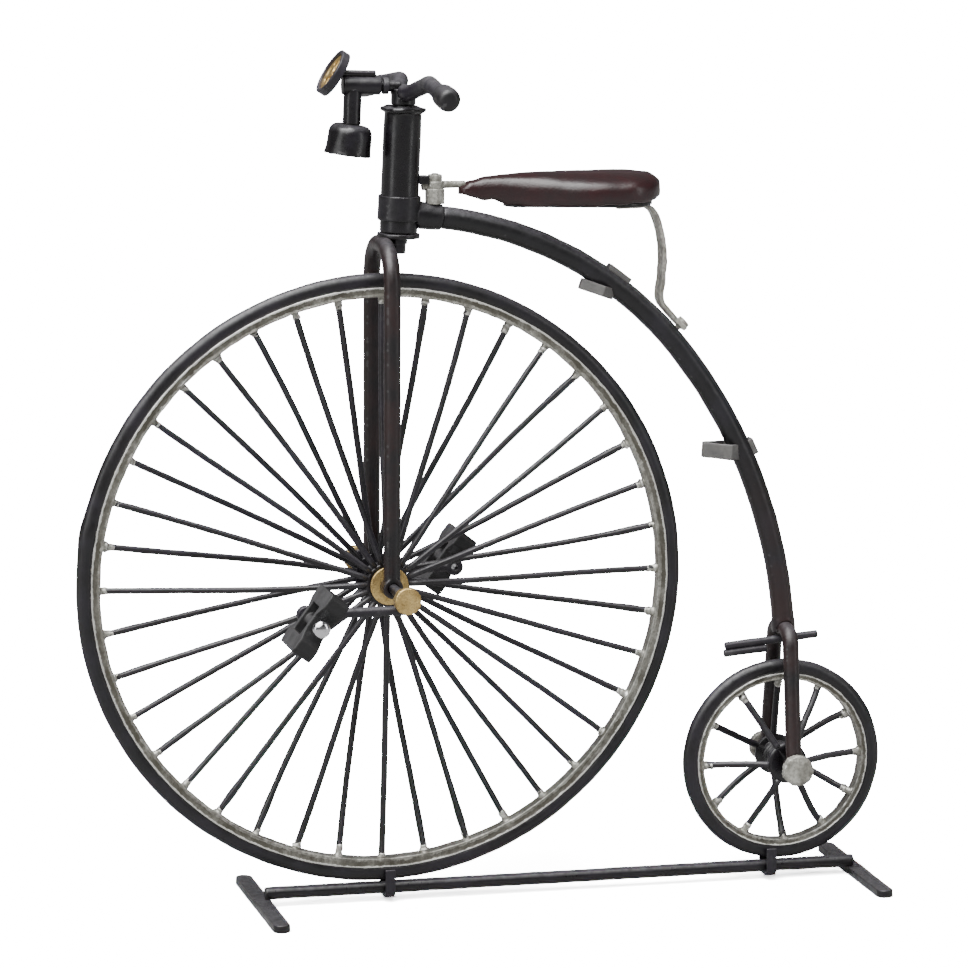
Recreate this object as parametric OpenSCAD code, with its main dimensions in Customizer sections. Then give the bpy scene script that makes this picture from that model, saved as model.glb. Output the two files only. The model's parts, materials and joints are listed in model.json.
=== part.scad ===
// Miniature high-wheel bicycle on a display stand, built up from bent rod, tube, strap and wire.
// Millimetres. +Z is up, the front faces -X and the rider's left side is -Y.
// The origin is on the floor, under the middle of the overall box.

/* [Wheels] */
// Outer radius of the front tyre
front_r = 67.5; // [52:0.5:82]
// Outer radius of the rear tyre
rear_r = 22.8; // [18:0.2:28]
// Clear distance between the two tyres
wheel_gap = 11.8; // [8:0.2:16]
// Thickness of the round tyre cord
tyre_d = 3.1; // [2.4:0.1:3.8]
// Width of both rims across the wheel
rim_w = 3.5; // [3:0.1:4.4]
// Radial depth of the front rim
front_rim_h = 2.65; // [2:0.05:4]
// Radial depth of the rear rim
rear_rim_h = 2; // [1.5:0.05:3]
// Spokes in the front wheel, shared by its two sides
front_spokes = 40; // [24:2:44]
// Spokes in the rear wheel, shared by its two sides
rear_spokes = 12; // [8:2:20]
// Thickness of a front spoke
front_spoke_d = 1.1; // [0.7:0.05:1.3]
// Thickness of a rear spoke
rear_spoke_d = 1.2; // [0.8:0.05:1.6]
// Length of the tinned ferrule at the rim end of each spoke
ferrule_len = 3.4; // [2:0.1:6]

/* [Hubs] */
// Radius of the front hub's flanges
front_flange_r = 4.8; // [4.6:0.1:6.5]
// Thickness of the front hub's flanges
front_flange_t = 1.3; // [1:0.1:2]
// Width of the front hub over its flanges
front_hub_w = 13; // [11:0.2:15]
// Thickness of the front axle
front_axle_d = 2.2; // [1.6:0.1:2.6]
// Radius of the brass washers beside the front hub
washer_r = 4.2; // [3.4:0.1:5.2]
// Thickness of the brass washers
washer_t = 0.7; // [0.4:0.1:1]
// Radius of the rear hub's flanges
rear_flange_r = 4.6; // [3.8:0.1:5.6]
// Width of the rear hub over its flanges
rear_hub_w = 11; // [9:0.2:12.6]
// Thickness of the rear axle
rear_axle_d = 2; // [1.4:0.1:2.4]
// Radius of the rear axle's end caps
rear_cap_r = 3.4; // [2.6:0.1:4.4]

/* [Cranks and pedals] */
// Distance from the front axle to a pedal's pin, along the crank
crank_len = 21.8; // [17:0.2:26]
// How far the crank bars hang below the axle
crank_drop = 2.4; // [1.6:0.1:3]
// Thickness of the round crank bar
crank_d = 2.1; // [1.6:0.1:2.6]
// Distance from the centre plane to a crank's inner face
crank_inner = 22.3; // [16:0.2:26]
// Radius of the brass caps on the front axle
front_cap_r = 2.9; // [2.2:0.1:3.6]
// Thickness of the axle caps, front and rear
cap_t = 2.1; // [1.4:0.1:3]
// Length of a pedal, fore and aft
pedal_len = 14.7; // [12:0.2:18]
// Width of a pedal across the bicycle
pedal_w = 13; // [10:0.2:16]
// Thickness of a pedal
pedal_t = 4.6; // [3.6:0.1:5.6]
// Angle at which the pedals hang, nose down
pedal_tilt = 53; // [0:1:80]
// Thickness of the pedal pin
pin_d = 1.6; // [1.2:0.1:2]
// Radius of the pedal pin's domed head
pin_head_r = 2; // [1.4:0.1:2.6]

/* [Fork and steering] */
// Thickness of the front fork's rod
fork_d = 3.6; // [3:0.1:4.4]
// Distance of each front fork leg from the centre plane
fork_half = 10.2; // [9.8:0.1:13]
// Height of the crown's centre line above the front tyre
crown_gap = 6.2; // [5:0.1:9]
// Bend radius of the front fork's crown
crown_bend = 8; // [5:0.5:9]
// Angle of the head tube, top leaning back
head_rake = 2.1; // [0:0.1:8]
// Distance of the head tube's foot behind the fork
head_offset = 3.6; // [2.6:0.1:5]
// Outer thickness of the head tube
head_d = 8.3; // [7:0.1:10]
// Length of the head tube
head_len = 27.2; // [22:0.2:34]
// Thickness of the steerer inside the head tube
steerer_d = 4.4; // [3.4:0.1:5]
// Thickness of the stem above the head tube
stem_d = 5.4; // [4.6:0.1:6.4]

/* [Handlebar] */
// Thickness of the handlebar's rod
bar_d = 3.5; // [2.8:0.1:4]
// Half of the handlebar's width, grips included
bar_half = 39.8; // [32:0.2:48]
// Distance of the bar's two humps from the centre plane
hump_at = 12.6; // [9:0.2:15]
// Rise of the humps above the stem
hump_rise = 3.4; // [2:0.1:5]
// Rise of the bar's ends above the stem
end_rise = -0.2; // [-1:0.1:2]
// Backward lean of the bar's rise
bar_tilt = 45; // [0:1:60]
// Roll of the whole bar, left end up
bar_roll = 3; // [0:0.1:4]
// Turn of the whole bar about the stem, left end back
bar_turn = 1; // [0:0.1:3]
// Thickness of the grips
grip_d = 5.1; // [4.4:0.1:6.5]
// Length of the grips
grip_len = 8; // [6:0.2:14]

/* [Lamp and bell] */
// Outer thickness of the lamp's ring
lamp_d = 10.5; // [8:0.1:13]
// Depth of the lamp's ring
lamp_t = 1.9; // [1.4:0.1:3]
// Width of the ring's rim around the lamp's face
lamp_rim = 0.9; // [0.6:0.1:1.5]
// Backward lean of the lamp
lamp_tilt = 30; // [0:1:45]
// Distance of the lamp's centre in front of the steering axis
lamp_reach = 15.6; // [14:0.2:19]
// Thickness of the lamp's rod
lamp_rod_d = 1.5; // [1:0.1:2]
// Thickness of the bracket's round body
bracket_d = 3.9; // [3.2:0.1:5]
// Distance from the steering axis to the bell's tube
bell_reach = 11.2; // [10.4:0.1:14]
// Thickness of the bell's tube
bell_tube_d = 3.9; // [3:0.1:4.6]
// Height of the bell's tube below the bracket's centre line
bell_drop = 8.4; // [6:0.2:12]
// Outer thickness of the bell cup at its mouth
bell_d = 9.9; // [8:0.1:12]
// Height of the bell cup
bell_h = 6.6; // [5.4:0.1:9]
// Wall of the bell cup
bell_wall = 0.6; // [0.4:0.1:1]
// Lean of the bell cup, mouth forward
bell_tilt = 6; // [0:1:12]

/* [Backbone] */
// Thickness of the backbone tube
backbone_d = 4.9; // [4.2:0.1:5.8]
// Downward slope of the backbone where it leaves the head
backbone_slope_top = 7.4; // [2:0.2:16]
// Downward slope of the backbone at its lower end
backbone_slope_end = 85; // [76:0.5:89]
// Height of the backbone's lower end above the rear tyre
backbone_end_gap = 9.1; // [8.4:0.1:14]
// Height of the head lug's band
lug_h = 5.4; // [4.4:0.1:8]
// Wall of the head lug's band
lug_wall = 0.45; // [0.3:0.05:1]
// Length of the lug's tapered sleeve behind the head tube
sleeve_len = 5.25; // [4.25:0.05:9]
// Thickness of a step's strap
strap_t = 0.7; // [0.5:0.05:1]
// Height of the upper step's strap
upper_strap_w = 2.4; // [1.8:0.1:4]
// Height of the lower step's strap
lower_strap_w = 3.4; // [2.4:0.1:4.4]
// Reach of the upper step's loop in front of the backbone's centre line
upper_step_reach = 7.6; // [6.6:0.2:10]
// Reach of the lower step's loop in front of the backbone's centre line
lower_step_reach = 8.6; // [6.6:0.2:12]
// Depth of the upper step's loop below the backbone's centre line
upper_step_drop = 1.8; // [0:0.1:2.2]
// Distance along the backbone to the upper step
upper_step_at = 43; // [34:0.5:46]
// Distance along the backbone to the lower step
lower_step_at = 91; // [80:0.5:98]

/* [Rear fork] */
// Thickness of the rear fork's rod
rear_fork_d = 3.5; // [2.8:0.1:4]
// Distance of each rear fork leg from the centre plane, at the axle
rear_fork_half = 10; // [8.6:0.1:12]
// Distance of each rear fork leg from the centre plane, at the crown
rear_crown_half = 5.8; // [5:0.1:7.5]
// Height of the rear crown's centre line above the rear tyre
rear_crown_gap = 7.1; // [6.7:0.1:8]
// Thickness of the two mounting pegs
peg_d = 1.7; // [1.2:0.1:2]
// Length of the long peg
long_peg_len = 21.5; // [16:0.5:26]
// Length of the short peg
short_peg_len = 9.8; // [6:0.2:11]

/* [Saddle] */
// Length of the saddle
saddle_len = 44.9; // [36:0.5:54]
// Width of the saddle at its back
saddle_w = 20; // [15:0.5:26]
// Width of the saddle at its nose
saddle_nose_w = 4.6; // [3.4:0.2:7]
// Thickness of the saddle's padded top
saddle_t = 6.2; // [4.6:0.2:8]
// Distance from the back of the head tube to the saddle's nose
saddle_at = 8.75; // [7.35:0.05:14]
// Height of the saddle's top above the head tube's foot
saddle_rise = 12.1; // [11:0.1:15]
// Thickness of the plate under the saddle
pan_t = 0.9; // [0.6:0.1:1.4]
// Width of the saddle spring's strip
spring_w = 4.6; // [3:0.2:6]
// Thickness of the saddle spring's strip
spring_t = 1; // [0.7:0.1:1.4]

/* [Stand] */
// Thickness of the stand's rail
rail_d = 2.8; // [2.2:0.1:3.6]
// Length of each foot across the stand
foot_len = 46; // [34:1:60]
// Width of each foot
foot_w = 3.7; // [3.2:0.1:5]
// Thickness of each foot
foot_t = 1.7; // [1.4:0.1:2.6]
// Distance of the front foot ahead of the front axle
front_foot_at = 26.8; // [18:0.2:40]
// Distance of the rear foot behind the rear axle
rear_foot_at = 17.9; // [12:0.2:20]
// Width of the clips' strap along the rail
clip_w = 2.2; // [1.6:0.1:3]
// Thickness of the clips' strap
clip_t = 0.6; // [0.4:0.05:0.9]
// Clear space between a clip's arm and the rim
clip_gap = 0.9; // [0.8:0.05:1.4]
// Height of the clips above the bottom of the tyre
clip_rise = 2.7; // [1.6:0.1:4]

/* [Fits] */
// Radial clearance of a shaft that turns
run_fit = 0.08; // [0.03:0.01:0.1]
// Space between parts that move past each other
gap = 0.3; // [0.25:0.05:0.5]

/* [Hidden] */
$fn = 48;
hull_fn = 32;
bone_fn = 240;      // the backbone's long arcs, so that what is welded to it fits

iron = [0.09, 0.085, 0.09];
silver = [0.68, 0.68, 0.62];
brass = [0.72, 0.55, 0.25];
burgundy = [0.26, 0.09, 0.1];

left = -1;
right = 1;
sides = [left, right];
bite = 0.15;    // depth to which a welded piece is let into its neighbour

// ---- Where the wheels stand ----
tyre_r = tyre_d / 2;
wheel_z = foot_t + rail_d + gap;    // underside of both tyres
wheelbase = sqrt(pow(front_r + rear_r + wheel_gap, 2) - pow(front_r - rear_r, 2));
axle_x = (front_r - wheelbase - rear_r) / 2;
axle_z = wheel_z + front_r;
rear_x = axle_x + wheelbase;
rear_z = wheel_z + rear_r;
front_rim_in = front_r - tyre_d * 0.8 - front_rim_h;
rear_rim_in = rear_r - tyre_d * 0.8 - rear_rim_h;
front_axle_r = front_axle_d / 2;
rear_axle_r = rear_axle_d / 2;
front_flange_y = (front_hub_w - front_flange_t) / 2;
rear_flange_t = 1.2;
rear_flange_y = (rear_hub_w - rear_flange_t) / 2;
spoke_root = 0.4;   // depth of a spoke's end in the hub and of a ferrule in the rim

// ---- Cranks and pedals ----
cap_y = crank_inner + crank_d;
pedal_in = cap_y + cap_t;
pin_end = pedal_in + pedal_w + gap;
pin_head_t = 1.1;
crank_eye_r = front_axle_r + 1.2;
pin_eye_r = pin_d / 2 + 1.1;

// ---- Steering ----
fork_r = fork_d / 2;
crown_z = axle_z + front_r + crown_gap;
fork_eye_r = max(front_axle_r + run_fit + 1, fork_r + 0.4);
plate_t = 1;
plate_z = crown_z + fork_r - bite * 3;  // underside of the steerer's plate
plate_r = head_d / 2 + 0.45;
head_x = axle_x + head_offset;
head_r = head_d / 2;
head_foot = plate_t + gap;              // all heights on the head are above plate_z
head_top = head_foot + head_len;
lip_t = 0.8;
lip_r = head_r + 0.55;
steerer_r = steerer_d / 2;
stem_r = stem_d / 2;
stem_foot = head_top + gap;
bar_r = bar_d / 2;
bar_up = stem_foot + bar_r + 0.9;       // the bar's centre line
stem_top = bar_up + bar_r * 0.45;
bar_bend = 4;
bar_flat = 5;
bar_lie = [-bar_roll, 0, bar_turn];
grip_r = grip_d / 2;

// ---- Lamp and bell ----
bracket_up = bar_up + 1.3;
bracket_r = bracket_d / 2;
bracket_back = 5.2;                     // back of the bracket's body, ahead of the steering axis
bracket_front = bell_reach + bracket_r + 0.4;
neck_r = 1.2;
band_r = neck_r + 0.6;
lamp_rod_r = lamp_rod_d / 2;
lamp_up = bracket_up + bracket_r + lamp_rod_r - bite;
bell_r = bell_d / 2;
bell_top = bracket_up - bell_drop;

// ---- Backbone: two arcs that join smoothly, in the plane of X and Z ----
backbone_r = backbone_d / 2;
lug_up = head_foot + 5.2;
sleeve_up = lug_up - 1.1;               // the sleeve leaves the band low down
sleeve_r = backbone_r + 0.35;
sleeve_run = head_r + sleeve_len;       // from the steering axis
function unit(a) = [cos(a), sin(a)];
function on_head(up) = [head_x + up * sin(head_rake), plate_z + up * cos(head_rake)];
top_a = -backbone_slope_top;
end_a = -backbone_slope_end;
bone_a = on_head(sleeve_up) + sleeve_run * unit(top_a);
bone_b = [rear_x, wheel_z + 2 * rear_r + backbone_end_gap];
bone_v = bone_b - bone_a;
bone_t = unit(top_a) + unit(end_a);
bone_k = 2 * (1 - unit(top_a) * unit(end_a));
bone_d = (-bone_v * bone_t + sqrt(pow(bone_v * bone_t, 2) + bone_k * (bone_v * bone_v))) / bone_k;
bone_j = (bone_a + bone_b + bone_d * (unit(top_a) - unit(end_a))) / 2;
function arc_r(chord, normal) = (chord * chord) / (2 * chord * normal);
arc1_r = arc_r(bone_j - bone_a, unit(top_a - 90));
arc2_r = arc_r(bone_j - bone_b, unit(end_a - 90));
arc1_c = bone_a + arc1_r * unit(top_a - 90);
arc2_c = bone_b + arc2_r * unit(end_a - 90);
arc1_turn = 2 * asin(norm(bone_j - bone_a) / (2 * arc1_r));
arc2_turn = 2 * asin(norm(bone_b - bone_j) / (2 * arc2_r));
arc1_len = arc1_r * arc1_turn * PI / 180;
// Heading of the backbone at a distance along it, and a point beside it, outward positive
function bone_dir(s) = s < arc1_len
    ? top_a - s / arc1_r * 180 / PI
    : end_a + arc2_turn - (s - arc1_len) / arc2_r * 180 / PI;
function bone_at(s, out = 0) = s < arc1_len
    ? arc1_c + (arc1_r + out) * unit(bone_dir(s) + 90)
    : arc2_c + (arc2_r + out) * unit(bone_dir(s) + 90);
socket_len = 2.8;
socket_r = backbone_r + 0.15;
upper_pad = [5.8, 4.1];                  // a pad's length, and how much of it is above the loop
lower_pad = [3.6, 1.8];
pad_w = 3;

// ---- Rear fork and pegs ----
rear_fork_r = rear_fork_d / 2;
rear_crown_z = wheel_z + 2 * rear_r + rear_crown_gap;
rear_crown_bend = 3.6;
rear_eye_r = rear_axle_r + 1.3;
rear_cap_y = rear_fork_half + rear_fork_r;
peg_r = peg_d / 2;
peg_slope = 5;
long_peg_z = rear_crown_z - rear_fork_r - peg_r + bite;
short_peg_x = rear_x - 13.6;
short_peg_z = long_peg_z - peg_d - 1.2 - bite;

// ---- Saddle ----
saddle_x = on_head(saddle_rise)[0] + head_r + saddle_at;
saddle_top = plate_z + head_foot + saddle_rise;
saddle_foot = saddle_top - saddle_t;
pan_z = saddle_foot - pan_t;
saddle_back_r = saddle_w / 2;
saddle_nose_r = saddle_nose_w / 2;
nose_z = saddle_top - 2.1;
nose_bar_r = 0.8;
nose_eye_r = 1.8;
nose_nut_r = 1.15;
nose_nut_t = 0.9;
nose_bar_front = 2.8;                   // from the stud to the front end of the nose bar
block_w = 3.2;
block_h = 1.6;
block_up = saddle_rise + head_foot - block_h - 0.1;
stud_s = 1.4;                           // how far the stud stands before the sleeve's end
stud_r = 0.7;
stud_x = on_head(sleeve_up)[0] + (sleeve_run - stud_s) * cos(backbone_slope_top);
sleeve_top = on_head(sleeve_up)[1] - (sleeve_run - stud_s) * sin(backbone_slope_top) + sleeve_r;
stud_z = sleeve_top - 0.5;
stud_top = nose_z + nose_bar_r + 1.7;
block_back = stud_x - 1.6;
stud_nut_r = 2.2;
top_nut_r = 1.6;
top_nut_t = 1.4;
stud_nut_t = nose_z - nose_bar_r - sleeve_top - bite;
spring_in = 8;                          // length of spring under the plate
spring_end_at = 61.5;
spring_rest_len = 8.5;
spring_bolt_at = spring_end_at - 1.9;
spring_bolt_r = 0.6;
spring_head_r = 1.5;
spring_drop_room = 3;                   // height over the bolt's seat that is cut free

// ---- Stand ----
rail_r = rail_d / 2;
rail_z = foot_t + rail_r;
front_foot_x = axle_x - front_foot_at;
rear_foot_x = rear_x + rear_foot_at;
front_clip_x = axle_x + 1.4;
rear_clip_x = rear_x - 2.7;
clip_half = rim_w / 2 + clip_gap + clip_t / 2;
clip_top = wheel_z + clip_rise;
clip_bend = 1.4;

// ---- Shared shapes ----
function seg_dir(p, i) = atan2(p[i + 1][1] - p[i][1], p[i + 1][0] - p[i][0]);
function wrap(a) = a > 180 ? a - 360 : a < -180 ? a + 360 : a;
function turn(p, i) = wrap(seg_dir(p, i) - seg_dir(p, i - 1));
function cut_back(p, i, r) = i == 0 || i == len(p) - 1 ? 0 : r * tan(abs(turn(p, i)) / 2);

// A bar of the child's outline that follows the points in the plane of X and Y, with round bends.
// The straights are let into the bends by a hair, and the bends are that much fuller.
lap = 0.03;
fuller = 1.006;
module bent_bar(p, bend) {
    last = len(p) - 1;
    for (i = [0 : last - 1]) {
        start = cut_back(p, i, bend) - (i > 0 ? lap : 0);
        run = norm(p[i + 1] - p[i]) - start - cut_back(p, i + 1, bend) + (i < last - 1 ? lap : 0);
        translate(p[i]) rotate(seg_dir(p, i)) translate([start, 0, 0])
            rotate([90, 0, 90]) linear_extrude(run) children();
    }
    for (i = [1 : last - 1]) {
        a = seg_dir(p, i - 1);
        t = turn(p, i);
        centre = p[i] - cut_back(p, i, bend) * unit(a) + bend * sign(t) * unit(a + 90);
        translate(centre) rotate(t > 0 ? a - 90 : a + t + 90)
            rotate_extrude(angle = abs(t)) translate([bend, 0]) scale(fuller) children();
    }
}

// Turns a shape drawn in X and Y upright: into X and Z, or into Y and Z
module upright_xz() { rotate([90, 0, 0]) children(); }
module upright_yz() { rotate([90, 0, 90]) children(); }

// A cylinder along Y, from y to y + h
module rod_y(r, y, h) { translate([0, y, 0]) rotate([-90, 0, 0]) cylinder(r = r, h = h); }

// A cylinder along X, from x to x + h
module rod_x(r, x, h) { translate([x, 0, 0]) rotate([0, 90, 0]) cylinder(r = r, h = h); }

// The same cylinder on each side of the centre plane
module rods_both_sides(r, y, h) {
    rod_y(r, y, h);
    rod_y(r, -y - h, h);
}

module at_front() { translate([axle_x, 0, axle_z]) children(); }
module at_rear() { translate([rear_x, 0, rear_z]) children(); }
module at_head() { translate([head_x, 0, plate_z]) rotate([0, head_rake, 0]) children(); }

// A ring about the wheel's axle, from an outline in radius and width
module wheel_ring() { rotate([90, 0, 0]) rotate_extrude() children(); }

module tyre(outer) { wheel_ring() translate([outer - tyre_r, 0]) circle(tyre_r); }

module rim(outer, inner) {
    wheel_ring() difference() {
        translate([inner, -rim_w / 2]) square([outer - tyre_d * 0.8 - inner, rim_w]);
        translate([outer - tyre_r, 0]) circle(tyre_r);
    }
}

// Lays a child that runs along +Z from the hub's flange on one side to the middle of the rim
module along_spoke(angle, side, hub_r, flange_y, rim_in) {
    lean = atan2(flange_y, rim_in - hub_r);
    rotate([0, -angle, 0]) translate([hub_r, side * flange_y, 0]) rotate([0, 90, -side * lean]) children();
}
function spoke_span(hub_r, flange_y, rim_in) = norm([rim_in - hub_r, flange_y]);

module spokes(count, first, side, d, hub_r, flange_y, rim_in) {
    span = spoke_span(hub_r, flange_y, rim_in);
    for (i = [0 : count - 1])
        along_spoke(first + i * 360 / count, side, hub_r, flange_y, rim_in)
            translate([0, 0, -spoke_root]) cylinder(d = d, h = span - ferrule_len + spoke_root);
}

module ferrules(count, first, side, d, hub_r, flange_y, rim_in) {
    span = spoke_span(hub_r, flange_y, rim_in);
    for (i = [0 : count - 1])
        along_spoke(first + i * 360 / count, side, hub_r, flange_y, rim_in)
            translate([0, 0, span - ferrule_len]) cylinder(d = d + 0.14, h = ferrule_len + spoke_root);
}

module hex_nut(r, t) { cylinder(r = r, h = t, $fn = 6); }

// ---- Stand ----
module stand_rail() {
    color(iron) translate([0, 0, rail_z])
        rod_x(rail_r, front_foot_x + 0.6, rear_foot_x - front_foot_x - 1.2);
}

module foot(x) {
    color(iron) translate([x, 0, 0]) difference() {
        union() {
            translate([-foot_w / 2, -foot_len / 2 + foot_w / 2, 0])
                cube([foot_w, foot_len - foot_w, foot_t + bite]);
            for (s = sides) translate([0, s * (foot_len - foot_w) / 2, 0])
                cylinder(d = foot_w, h = foot_t + bite);
        }
        // the bar's flat top, with the rail let into it
        translate([-foot_w, -foot_len, foot_t]) cube([foot_w * 2, foot_len - rail_r * 0.6, bite + 1]);
        translate([-foot_w, rail_r * 0.6, foot_t]) cube([foot_w * 2, foot_len, bite + 1]);
        translate([-x, 0, rail_z]) rod_x(rail_r, x - foot_w, foot_w * 2);
    }
}
module stand_front_foot() { foot(front_foot_x); }
module stand_rear_foot() { foot(rear_foot_x); }

// A strap folded up past both sides of the tyre, with a bed of solder that holds the rail
module wheel_clip(x) {
    color(iron) translate([x, 0, 0]) {
        bottom = foot_t - clip_t / 2;
        upright_yz() bent_bar([[-clip_half, clip_top], [-clip_half, bottom], [clip_half, bottom],
            [clip_half, clip_top]], clip_bend) square([clip_t, clip_w], center = true);
        difference() {
            translate([-clip_w / 2, -rail_r * 0.8, foot_t]) cube([clip_w, rail_r * 1.6, rail_r * 0.7]);
            translate([0, 0, rail_z]) rod_x(rail_r, -clip_w, clip_w * 2);
        }
    }
}
module front_wheel_clip() { wheel_clip(front_clip_x); }
module rear_wheel_clip() { wheel_clip(rear_clip_x); }

// ---- Frame ----
module head_tube() {
    color(iron) at_head() difference() {
        union() {
            translate([0, 0, head_foot]) cylinder(r = head_r, h = head_len);
            translate([0, 0, head_top - lip_t]) cylinder(r = lip_r, h = lip_t);
        }
        translate([0, 0, head_foot - 1]) cylinder(r = steerer_r + run_fit, h = head_len + 2);
    }
}

module head_sleeve() {
    start = on_head(sleeve_up);
    translate([start[0], 0, start[1]]) rotate([0, 90 + backbone_slope_top, 0])
        cylinder(r1 = sleeve_r + 0.25, r2 = sleeve_r, h = sleeve_run);
}

module head_lug() {
    color(iron) difference() {
        union() {
            at_head() translate([0, 0, lug_up - lug_h / 2]) cylinder(r = head_r + lug_wall, h = lug_h);
            head_sleeve();
        }
        at_head() translate([0, 0, head_foot]) cylinder(r = head_r, h = head_len);
        translate([stud_x, 0, stud_z]) cylinder(r = stud_r, h = stud_nut_t);
    }
}

module backbone_arc(c, r, from, turned, thick) {
    translate([c[0], 0, c[1]]) upright_xz() rotate(from)
        rotate_extrude(angle = turned, $fn = bone_fn) translate([r, 0]) circle(thick);
}

// The bent tube without the holes that its neighbours need
module backbone_core() {
    turned_lap = lap * 180 / PI / arc1_r;
    backbone_arc(arc1_c, arc1_r, top_a + 90 - arc1_turn - turned_lap, arc1_turn + turned_lap, backbone_r);
    backbone_arc(arc2_c, arc2_r, end_a + 90, arc2_turn, backbone_r * fuller);
}

module backbone() {
    color(iron) difference() {
        union() {
            backbone_core();
            translate([bone_b[0], 0, bone_b[1]]) rotate([0, 90 - end_a, 0])
                translate([0, 0, -bite]) cylinder(r = socket_r, h = socket_len + bite);
        }
        translate([rear_x, 0, rear_crown_z]) rod_y(rear_fork_r, -rear_crown_half, rear_crown_half * 2);
        spring_bolt_shank();
    }
}

function normal_of(a, b) = [a[1] - b[1], b[0] - a[0]] / norm(b - a);
// Offset that keeps a folded strap as thick at its corner i as along its straights
function mitre(p, i) = i == 0 ? normal_of(p[0], p[1])
    : i == len(p) - 1 ? normal_of(p[i - 1], p[i])
    : (normal_of(p[i - 1], p[i]) + normal_of(p[i], p[i + 1]))
        / (1 + normal_of(p[i - 1], p[i]) * normal_of(p[i], p[i + 1]));

module folded_strap(p, t, w) {
    last = len(p) - 1;
    linear_extrude(w, center = true) polygon(concat(
        [for (i = [0 : last]) p[i] + mitre(p, i) * t / 2],
        [for (i = [last : -1 : 0]) p[i] - mitre(p, i) * t / 2]));
}

// A forward strap loop, with a short pad behind the tube
module step(s, tilt, reach, drop, w, pad) {
    c = bone_at(s);
    root = backbone_r * 0.5;    // the strap's ends are let into the tube
    shoulder = backbone_r + 0.8;
    color(iron) difference() {
        union() {
            translate([c[0], 0, c[1]]) rotate([0, tilt, 0]) translate([0, 0, -drop])
                folded_strap([[-0.4, root], [-shoulder, shoulder], [-reach, 0.5],
                    [-reach, -0.5], [-shoulder, -shoulder], [-0.4, -root]], strap_t, w);
            translate([c[0], 0, c[1]]) rotate([0, -bone_dir(s), 0])
                translate([-pad[1], -pad_w / 2, backbone_r - 0.6]) cube([pad[0], pad_w, 1.4]);
        }
        backbone_core();
    }
}
module upper_step() { step(upper_step_at, 19, upper_step_reach, upper_step_drop, upper_strap_w, upper_pad); }
module lower_step() { step(lower_step_at, 4, lower_step_reach, 0, lower_strap_w, lower_pad); }

module rear_fork() {
    color(iron) at_rear() difference() {
        union() {
            upright_yz() bent_bar([[-rear_fork_half, 0], [-rear_crown_half, rear_crown_z - rear_z],
                [rear_crown_half, rear_crown_z - rear_z], [rear_fork_half, 0]], rear_crown_bend) circle(rear_fork_r);
            rods_both_sides(rear_eye_r, rear_fork_half - rear_fork_r, rear_fork_d);
        }
        rod_y(rear_axle_r, -rear_cap_y - 1, rear_cap_y * 2 + 2);
    }
}

module peg(x, z, len) {
    color(iron) translate([x, 0, z]) rotate([0, -peg_slope, 0]) rod_x(peg_r, -len / 2, len);
}
module rear_long_peg() { peg(rear_x - 2.7, long_peg_z - 2.7 * tan(peg_slope), long_peg_len); }
module rear_short_peg() {
    peg(short_peg_x + short_peg_len / 2, short_peg_z - (13.6 - short_peg_len / 2) * tan(peg_slope) + 1.35,
        short_peg_len);
}

module rear_axle() { color(silver) at_rear() rod_y(rear_axle_r, -rear_cap_y, rear_cap_y * 2); }
module rear_axle_caps() { color(silver) at_rear() rods_both_sides(rear_cap_r, rear_cap_y, cap_t); }

// ---- Saddle ----
module saddle_pad() {
    color(burgundy) hull() {
        translate([saddle_x + saddle_len - saddle_back_r, 0, saddle_foot])
            cylinder(r = saddle_back_r, h = saddle_t, $fn = hull_fn);
        translate([saddle_x + saddle_len * 0.3, 0, saddle_foot])
            cylinder(r = saddle_back_r * 0.5, h = saddle_t, $fn = hull_fn);
        translate([saddle_x + saddle_nose_r, 0, nose_z - 1.3])
            cylinder(r = saddle_nose_r, h = 2.8, $fn = hull_fn);
    }
}

module saddle_pan() {
    pan_r = saddle_back_r - 1.6;
    color(iron) translate([saddle_x, 0, pan_z]) hull() {
        translate([saddle_len - saddle_back_r, 0, 0]) cylinder(r = pan_r, h = pan_t, $fn = hull_fn);
        translate([saddle_len * 0.3, 0, 0]) cylinder(r = pan_r * 0.4, h = pan_t, $fn = hull_fn);
    }
}

module saddle_spring() {
    rest_from = bone_at(spring_end_at - spring_rest_len, backbone_r + spring_t / 2);
    rest_to = bone_at(spring_end_at, backbone_r + spring_t / 2);
    spring_z = pan_z - spring_t / 2;
    drop = spring_z - rest_from[1];
    back = saddle_x + saddle_len - 1.8;
    color(silver) difference() {
        upright_xz() bent_bar([[back - spring_in, spring_z], [back - 1.2, spring_z],
            [back + 2.2, spring_z - drop * 0.42], [rest_from[0] + 0.2, rest_from[1] + drop * 0.12], rest_to], 4)
            square([spring_t, spring_w], center = true);
        backbone_core();
        spring_bolt_shank();
        spring_bolt_head(spring_drop_room);
    }
}

// The bolt's shank passes through the strip and into the tube
module spring_bolt_shank() {
    at = bone_at(spring_bolt_at, backbone_r);
    translate([at[0], 0, at[1]]) rotate([0, -bone_dir(spring_bolt_at), 0])
        translate([0, 0, -1.8]) cylinder(r = spring_bolt_r, h = 1.8 + spring_t + 0.4);
}
// The head has its own flat seat in the strip
module spring_bolt_head(h) {
    at = bone_at(spring_bolt_at, backbone_r + spring_t + 0.15);
    translate([at[0], 0, at[1]]) rotate([0, -bone_dir(spring_bolt_at), 0]) hex_nut(spring_head_r, h);
}
module saddle_spring_bolt() {
    color(silver) {
        spring_bolt_shank();
        spring_bolt_head(1.2);
    }
}

module saddle_block() {
    color(iron) difference() {
        translate([head_x, -block_w / 2, plate_z + block_up]) cube([block_back - head_x, block_w, block_h]);
        at_head() translate([0, 0, head_foot]) cylinder(r = head_r, h = head_len);
        nose_bar_outline();
        nose_nut_outline();
    }
}

module stud_shank() { translate([stud_x, 0, stud_z]) cylinder(r = stud_r, h = stud_top - stud_z); }
module saddle_stud() { color(silver) stud_shank(); }

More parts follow.
